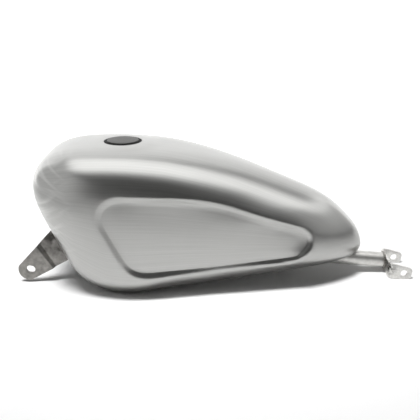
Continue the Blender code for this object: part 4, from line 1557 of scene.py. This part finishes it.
    def wire_ring(self, name: str, height: float, opening: float = 0) -> Piece:
        """A ring of round wire about the stem, pressed a little flat.

        Args:
            name: the piece's name.
            height: its height.
            opening: angle of its opening in degrees, or none where it is whole.

        Returns:
            The ring.
        """
        made = add_shape(bpy.ops.mesh.primitive_torus_add, name, major_segments=96, minor_segments=16,
                         major_radius=self.seal_radius * MM, minor_radius=self.seal_wire * MM)
        edit_all(made)
        bpy.ops.transform.resize(value=(1, 1, self.seal_press), center_override=(0, 0, 0))
        if opening:
            bpy.ops.mesh.select_all(action='DESELECT')
            bpy.ops.object.mode_set(mode='OBJECT')
            for face in made.data.polygons:
                turn = math.degrees(math.atan2(face.center.y, face.center.x))
                face.select = abs(turn) < opening / 2
            bpy.ops.object.mode_set(mode='EDIT')
            bpy.ops.mesh.delete(type='FACE')
            bpy.ops.mesh.select_all(action='SELECT')
            bpy.ops.mesh.fill_holes(sides=0)
        bpy.ops.object.mode_set(mode='OBJECT')
        made.data.transform(shift(self.place) @ Matrix.Translation((0, 0, height * MM)))
        smooth(made, 60)
        return made

    def clip(self) -> Piece:
        """Retaining clip: a flat ring with a mouth on one side.

        Returns:
            The clip.
        """
        inner = self.stem - self.groove + GAP
        outer = self.clip_radius
        top, low = self.clip_top, self.clip_top - self.clip_thickness
        profile = [(outer, top), (outer, low), (inner, low), (inner, top)]
        made = turned("cap_spring_clip", profile, self.place, steps=64)
        mouth = inner * self.clip_mouth
        cut(made, block((0, -mouth, low - 1), (outer * 2, mouth, top + 1), self.place))
        soften(made, self.clip_edge)
        smooth(made, 40)
        return made

    def vent(self) -> Piece:
        """Rubber mushroom that lets air in through the cap's boss.

        Returns:
            The mushroom.
        """
        low = self.shank_bottom - GAP
        top, stem, ease = self.boss_top, self.vent_stem, self.vent_ease
        dome = [(self.vent_head * share, low - drop) for share, drop in self.vent_dome]
        profile = [(0, top), (stem - ease, top), (stem, top - ease), (stem, low), *dome]
        made = turned("cap_vent_mushroom", profile, self.beside(self.vent_offset), steps=48)
        smooth(made, 60)
        return made

    def build(self) -> None:
        """Model and dress the neck and the cap."""
        turned_steel = TURNED_STEEL.make()
        rubber = NITRILE.make()
        wire = DRAWN_WIRE.make()
        install(self.neck(), turned_steel, Body.TANK, ("filler_neck",))
        install(self.ring("cap_flat_gasket", self.gasket_top, self.gasket), rubber, Body.SEAL,
                ("cap_gasket",))
        install(self.ring("cap_slip_ring", self.washer_top, self.washer), NATURAL_NYLON.make(), Body.RING,
                ("cap_slip_washer",))
        install(self.base(), BLACK_RIM.make(), Body.CAP, ("cap_base",))
        install(self.knob(), ANODISED_KNOB.make(), Body.KNOB, ("cap_knob",))
        install(self.pin("drive_dowel_front", -self.pin_offset), turned_steel, Body.KNOB,
                ("drive_pin_front",))
        install(self.pin("drive_dowel_rear", self.pin_offset), turned_steel, Body.KNOB,
                ("drive_pin_rear",))
        spring = self.spring()
        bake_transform(spring)
        install(spring, wire, None, ("cap_spring",))
        install(self.wire_ring("cap_stem_o_ring", self.seal_height), rubber, Body.CAP,
                ("cap_stem_seal",))
        install(self.wire_ring("cap_snap_ring", self.detent_height, self.snap_opening), wire, Body.CAP,
                ("cap_detent_ring",))
        install(self.clip(), wire, Body.KNOB, ("cap_retaining_clip",))
        install(self.vent(), rubber, Body.CAP, ("cap_vent_valve",))


# Studio

@dataclass(frozen=True)
class SoftBox:
    """A rectangular soft light; lengths are metres, and a radiance of 1 is the paper's white."""

    name: str
    place: Spot
    facing: Spot
    size: Point
    radiance: float

    def add(self) -> Piece:
        """Add the light.

        Returns:
            The light.
        """
        made = add_shape(bpy.ops.object.light_add, self.name, type='AREA', location=self.place)
        made.data.shape = 'RECTANGLE'
        made.data.size, made.data.size_y = self.size
        made.data.energy = self.radiance * math.pi * self.size[0] * self.size[1]
        made.rotation_euler = Vector(self.facing).to_track_quat('-Z', 'Y').to_euler()
        return made


@dataclass
class Studio:
    """White sweep, soft lights and the camera; lengths here are metres."""

    camera_aim: Spot = (-0.01075, 0.0, 0.107)
    camera_distance: float = 1.05
    camera_elevation: float = math.radians(20)
    sensor: float = 36
    lens: float = 55.8
    paper_white: str = "#f2f2f2"
    paper_rough: float = 0.9
    floor_size: Point = (8, 5)
    floor_middle: float = -0.5
    sweep_radius: float = 1.0
    sweep_steps: int = 12
    wall_height: float = 2.9
    glow_start: float = 0.15
    glow_stop: float = 1.2
    # The overhead bank runs along X, and its front and back edges are given at its two ends
    bank_height: float = 1.25
    bank_panels: int = 7
    bank_reach: Point = (-0.73, 1.45)
    bank_front: Point = (-0.38, -0.216)
    bank_back: Point = (0.739, 0.249)
    bank_radiance: float = 2.0
    fade_step: float = 0.15
    fade_shares: Point = (0.45, 0.17)
    cards: Sequence[SoftBox] = (
        SoftBox("overhead_end", (1.98, 0.5, 1.25), DOWN, (1.06, 1.5), 1.0),
        SoftBox("left_card", (-1.3, -0.55, 1.1), TO_TAIL, (3.3, 2.1), 0.66),
        SoftBox("left_card_fade", (-1.3, -2.65, 1.1), TO_TAIL, (0.9, 2.1), 0.3),
        SoftBox("right_card", (1.6, 0.3, 0.85), TO_NOSE, (2.2, 1.2), 0.5),
    )
    spot_place: Spot = (-0.38, -0.5, 2.2)
    spot_aim: Spot = (0.0, 0.4, 0.0)
    spot_power: float = 125.0
    spot_cone: float = math.radians(47)
    spot_blend: float = 0.2
    spot_radius: float = 0.3
    sun_power: float = 1.85
    sun_spread: float = math.radians(16)
    room_grey: str = "#525252"

    def paper(self) -> bpy.types.Material:
        """White paper that stays white behind the tank and keeps the tank's shadow under it.

        Returns:
            The material.
        """
        made = bpy.data.materials.new("white_paper")
        made.use_nodes = True
        tree = made.node_tree
        shader = tree.nodes["Principled BSDF"]
        shader.inputs["Base Color"].default_value = linear(self.paper_white)
        shader.inputs["Roughness"].default_value = self.paper_rough
        shader.inputs["Specular IOR Level"].default_value = 0.0
        shader.inputs["Emission Color"].default_value = (1, 1, 1, 1)
        path = add_node(tree, "ShaderNodeLightPath")
        seen = path.outputs["Is Camera Ray"]
        for ray in ("Is Glossy Ray", "Is Transmission Ray"):
            either = {0: seen, 1: path.outputs[ray]}
            seen = add_node(tree, "ShaderNodeMath", None, either, operation='MAXIMUM').outputs[0]
        place = add_node(tree, "ShaderNodeTexCoord")
        depth = add_node(tree, "ShaderNodeSeparateXYZ", None, {0: place.outputs["Object"]})
        limits = {"From Min": self.glow_start, "From Max": self.glow_stop}
        behind = add_node(tree, "ShaderNodeMapRange", limits, {"Value": depth.outputs["Y"]},
                          interpolation_type='SMOOTHSTEP')
        both = {0: seen, 1: behind.outputs["Result"]}
        glow = add_node(tree, "ShaderNodeMath", None, both, operation='MULTIPLY')
        tree.links.new(glow.outputs[0], shader.inputs["Emission Strength"])
        return made

    def floor(self) -> Piece:
        """White paper sweep: a floor that curves up behind the tank.

        Returns:
            The sweep.
        """
        made = add_shape(bpy.ops.mesh.primitive_plane_add, "paper_sweep", size=1)
        size = Matrix.Diagonal((*self.floor_size, 1, 1))
        made.data.transform(Matrix.Translation((0, self.floor_middle, 0)) @ size)
        edit_edges(made, lambda spot: spot.y > 0)
        turns = np.linspace(0, TURN / 4, self.sweep_steps + 1)
        rises = np.stack([0 * turns, np.sin(turns), 1 - np.cos(turns)], axis=1) * self.sweep_radius
        for step in (*np.diff(rises, axis=0).tolist(), (0, 0, self.wall_height)):
            bpy.ops.mesh.extrude_region_move(TRANSFORM_OT_translate={"value": step})
        bpy.ops.object.mode_set(mode='OBJECT')
        smooth(made, 60)
        made.data.materials.append(self.paper())
        return made

    def bank(self) -> list[Piece]:
        """Overhead panels: a bank that narrows towards the tail, and whose front edge fades in two steps.

        Returns:
            The lights.
        """
        made = []
        ends = np.linspace(*self.bank_reach, self.bank_panels + 1)
        for low, high in zip(ends, ends[1:]):
            x = (low + high) / 2
            front = np.interp(x, self.bank_reach, self.bank_front)
            back = np.interp(x, self.bank_reach, self.bank_back)
            edges = (back, front, front - self.fade_step, front - 2 * self.fade_step)
            for stop, start, share in zip(edges, edges[1:], (1.0, *self.fade_shares)):
                place = (x, (start + stop) / 2, self.bank_height)
                size = (high - low, stop - start)
                made.append(SoftBox("overhead", place, DOWN, size, self.bank_radiance * share).add())
        return made

    def limit(self, light: Piece, floor: Piece, state: Lit) -> None:
        """Let a light reach the paper alone, or everything but the paper.

        Args:
            light: the light.
            floor: the paper.
            state: what the light reaches.
        """
        reach = bpy.data.collections.new(light.name + "_reach")
        reach.objects.link(floor)
        reach.collection_objects[0].light_linking.link_state = state.value
        light.light_linking.receiver_collection = reach

    def paper_sun(self) -> Piece:
        """A broad light for the paper alone, which throws the tank's shadow on it.

        Returns:
            The light.
        """
        made = add_shape(bpy.ops.object.light_add, "paper_sun", type='SUN')
        made.rotation_euler = (-Vector(self.spot_place)).to_track_quat('-Z', 'Y').to_euler()
        made.data.energy = self.sun_power
        made.data.angle = self.sun_spread
        return made

    def paper_spot(self) -> Piece:
        """A pool of light on the paper alone, round and behind the tank.

        Returns:
            The light.
        """
        made = add_shape(bpy.ops.object.light_add, "paper_spot", type='SPOT', location=self.spot_place)
        facing = Vector(self.spot_aim) - Vector(self.spot_place)
        made.rotation_euler = facing.to_track_quat('-Z', 'Y').to_euler()
        made.data.energy = self.spot_power
        made.data.spot_size = self.spot_cone
        made.data.spot_blend = self.spot_blend
        made.data.shadow_soft_size = self.spot_radius
        return made

    def room(self) -> None:
        """Dim grey surroundings."""
        world = bpy.data.worlds.new("dim_room")
        world.use_nodes = True
        back = world.node_tree.nodes["Background"]
        back.inputs["Color"].default_value = linear(self.room_grey)
        back.inputs["Strength"].default_value = 1.0
        bpy.context.scene.world = world

    def camera(self) -> None:
        """Camera at the photograph's viewing angle."""
        tilt = self.camera_elevation
        x, y, z = self.camera_aim
        place = (x, y - self.camera_distance * math.cos(tilt), z + self.camera_distance * math.sin(tilt))
        made = add_shape(bpy.ops.object.camera_add, "Camera", location=place,
                         rotation=(TURN / 4 - tilt, 0, 0))
        made.data.sensor_width = self.sensor
        made.data.lens = self.lens
        bpy.context.scene.camera = made

    def build(self) -> None:
        """Set up the studio."""
        bpy.context.scene.view_settings.view_transform = 'Standard'
        floor = self.floor()
        for light in (*self.bank(), *(card.add() for card in self.cards)):
            self.limit(light, floor, Lit.ALL_BUT_PAPER)
        for light in (self.paper_sun(), self.paper_spot()):
            self.limit(light, floor, Lit.PAPER_ALONE)
        self.room()
        self.camera()


def main() -> None:
    """Build every sub-assembly, then the studio."""
    logging.basicConfig(level=logging.INFO, format="%(message)s")
    shell = TankShell(BodySurface())
    for assembly in (shell, FrontEar(shell), RearMount(shell), PopUpCap(), Studio()):
        LOG.info("building %s", type(assembly).__name__)
        assembly.build()


if __name__ == "__main__":
    main()
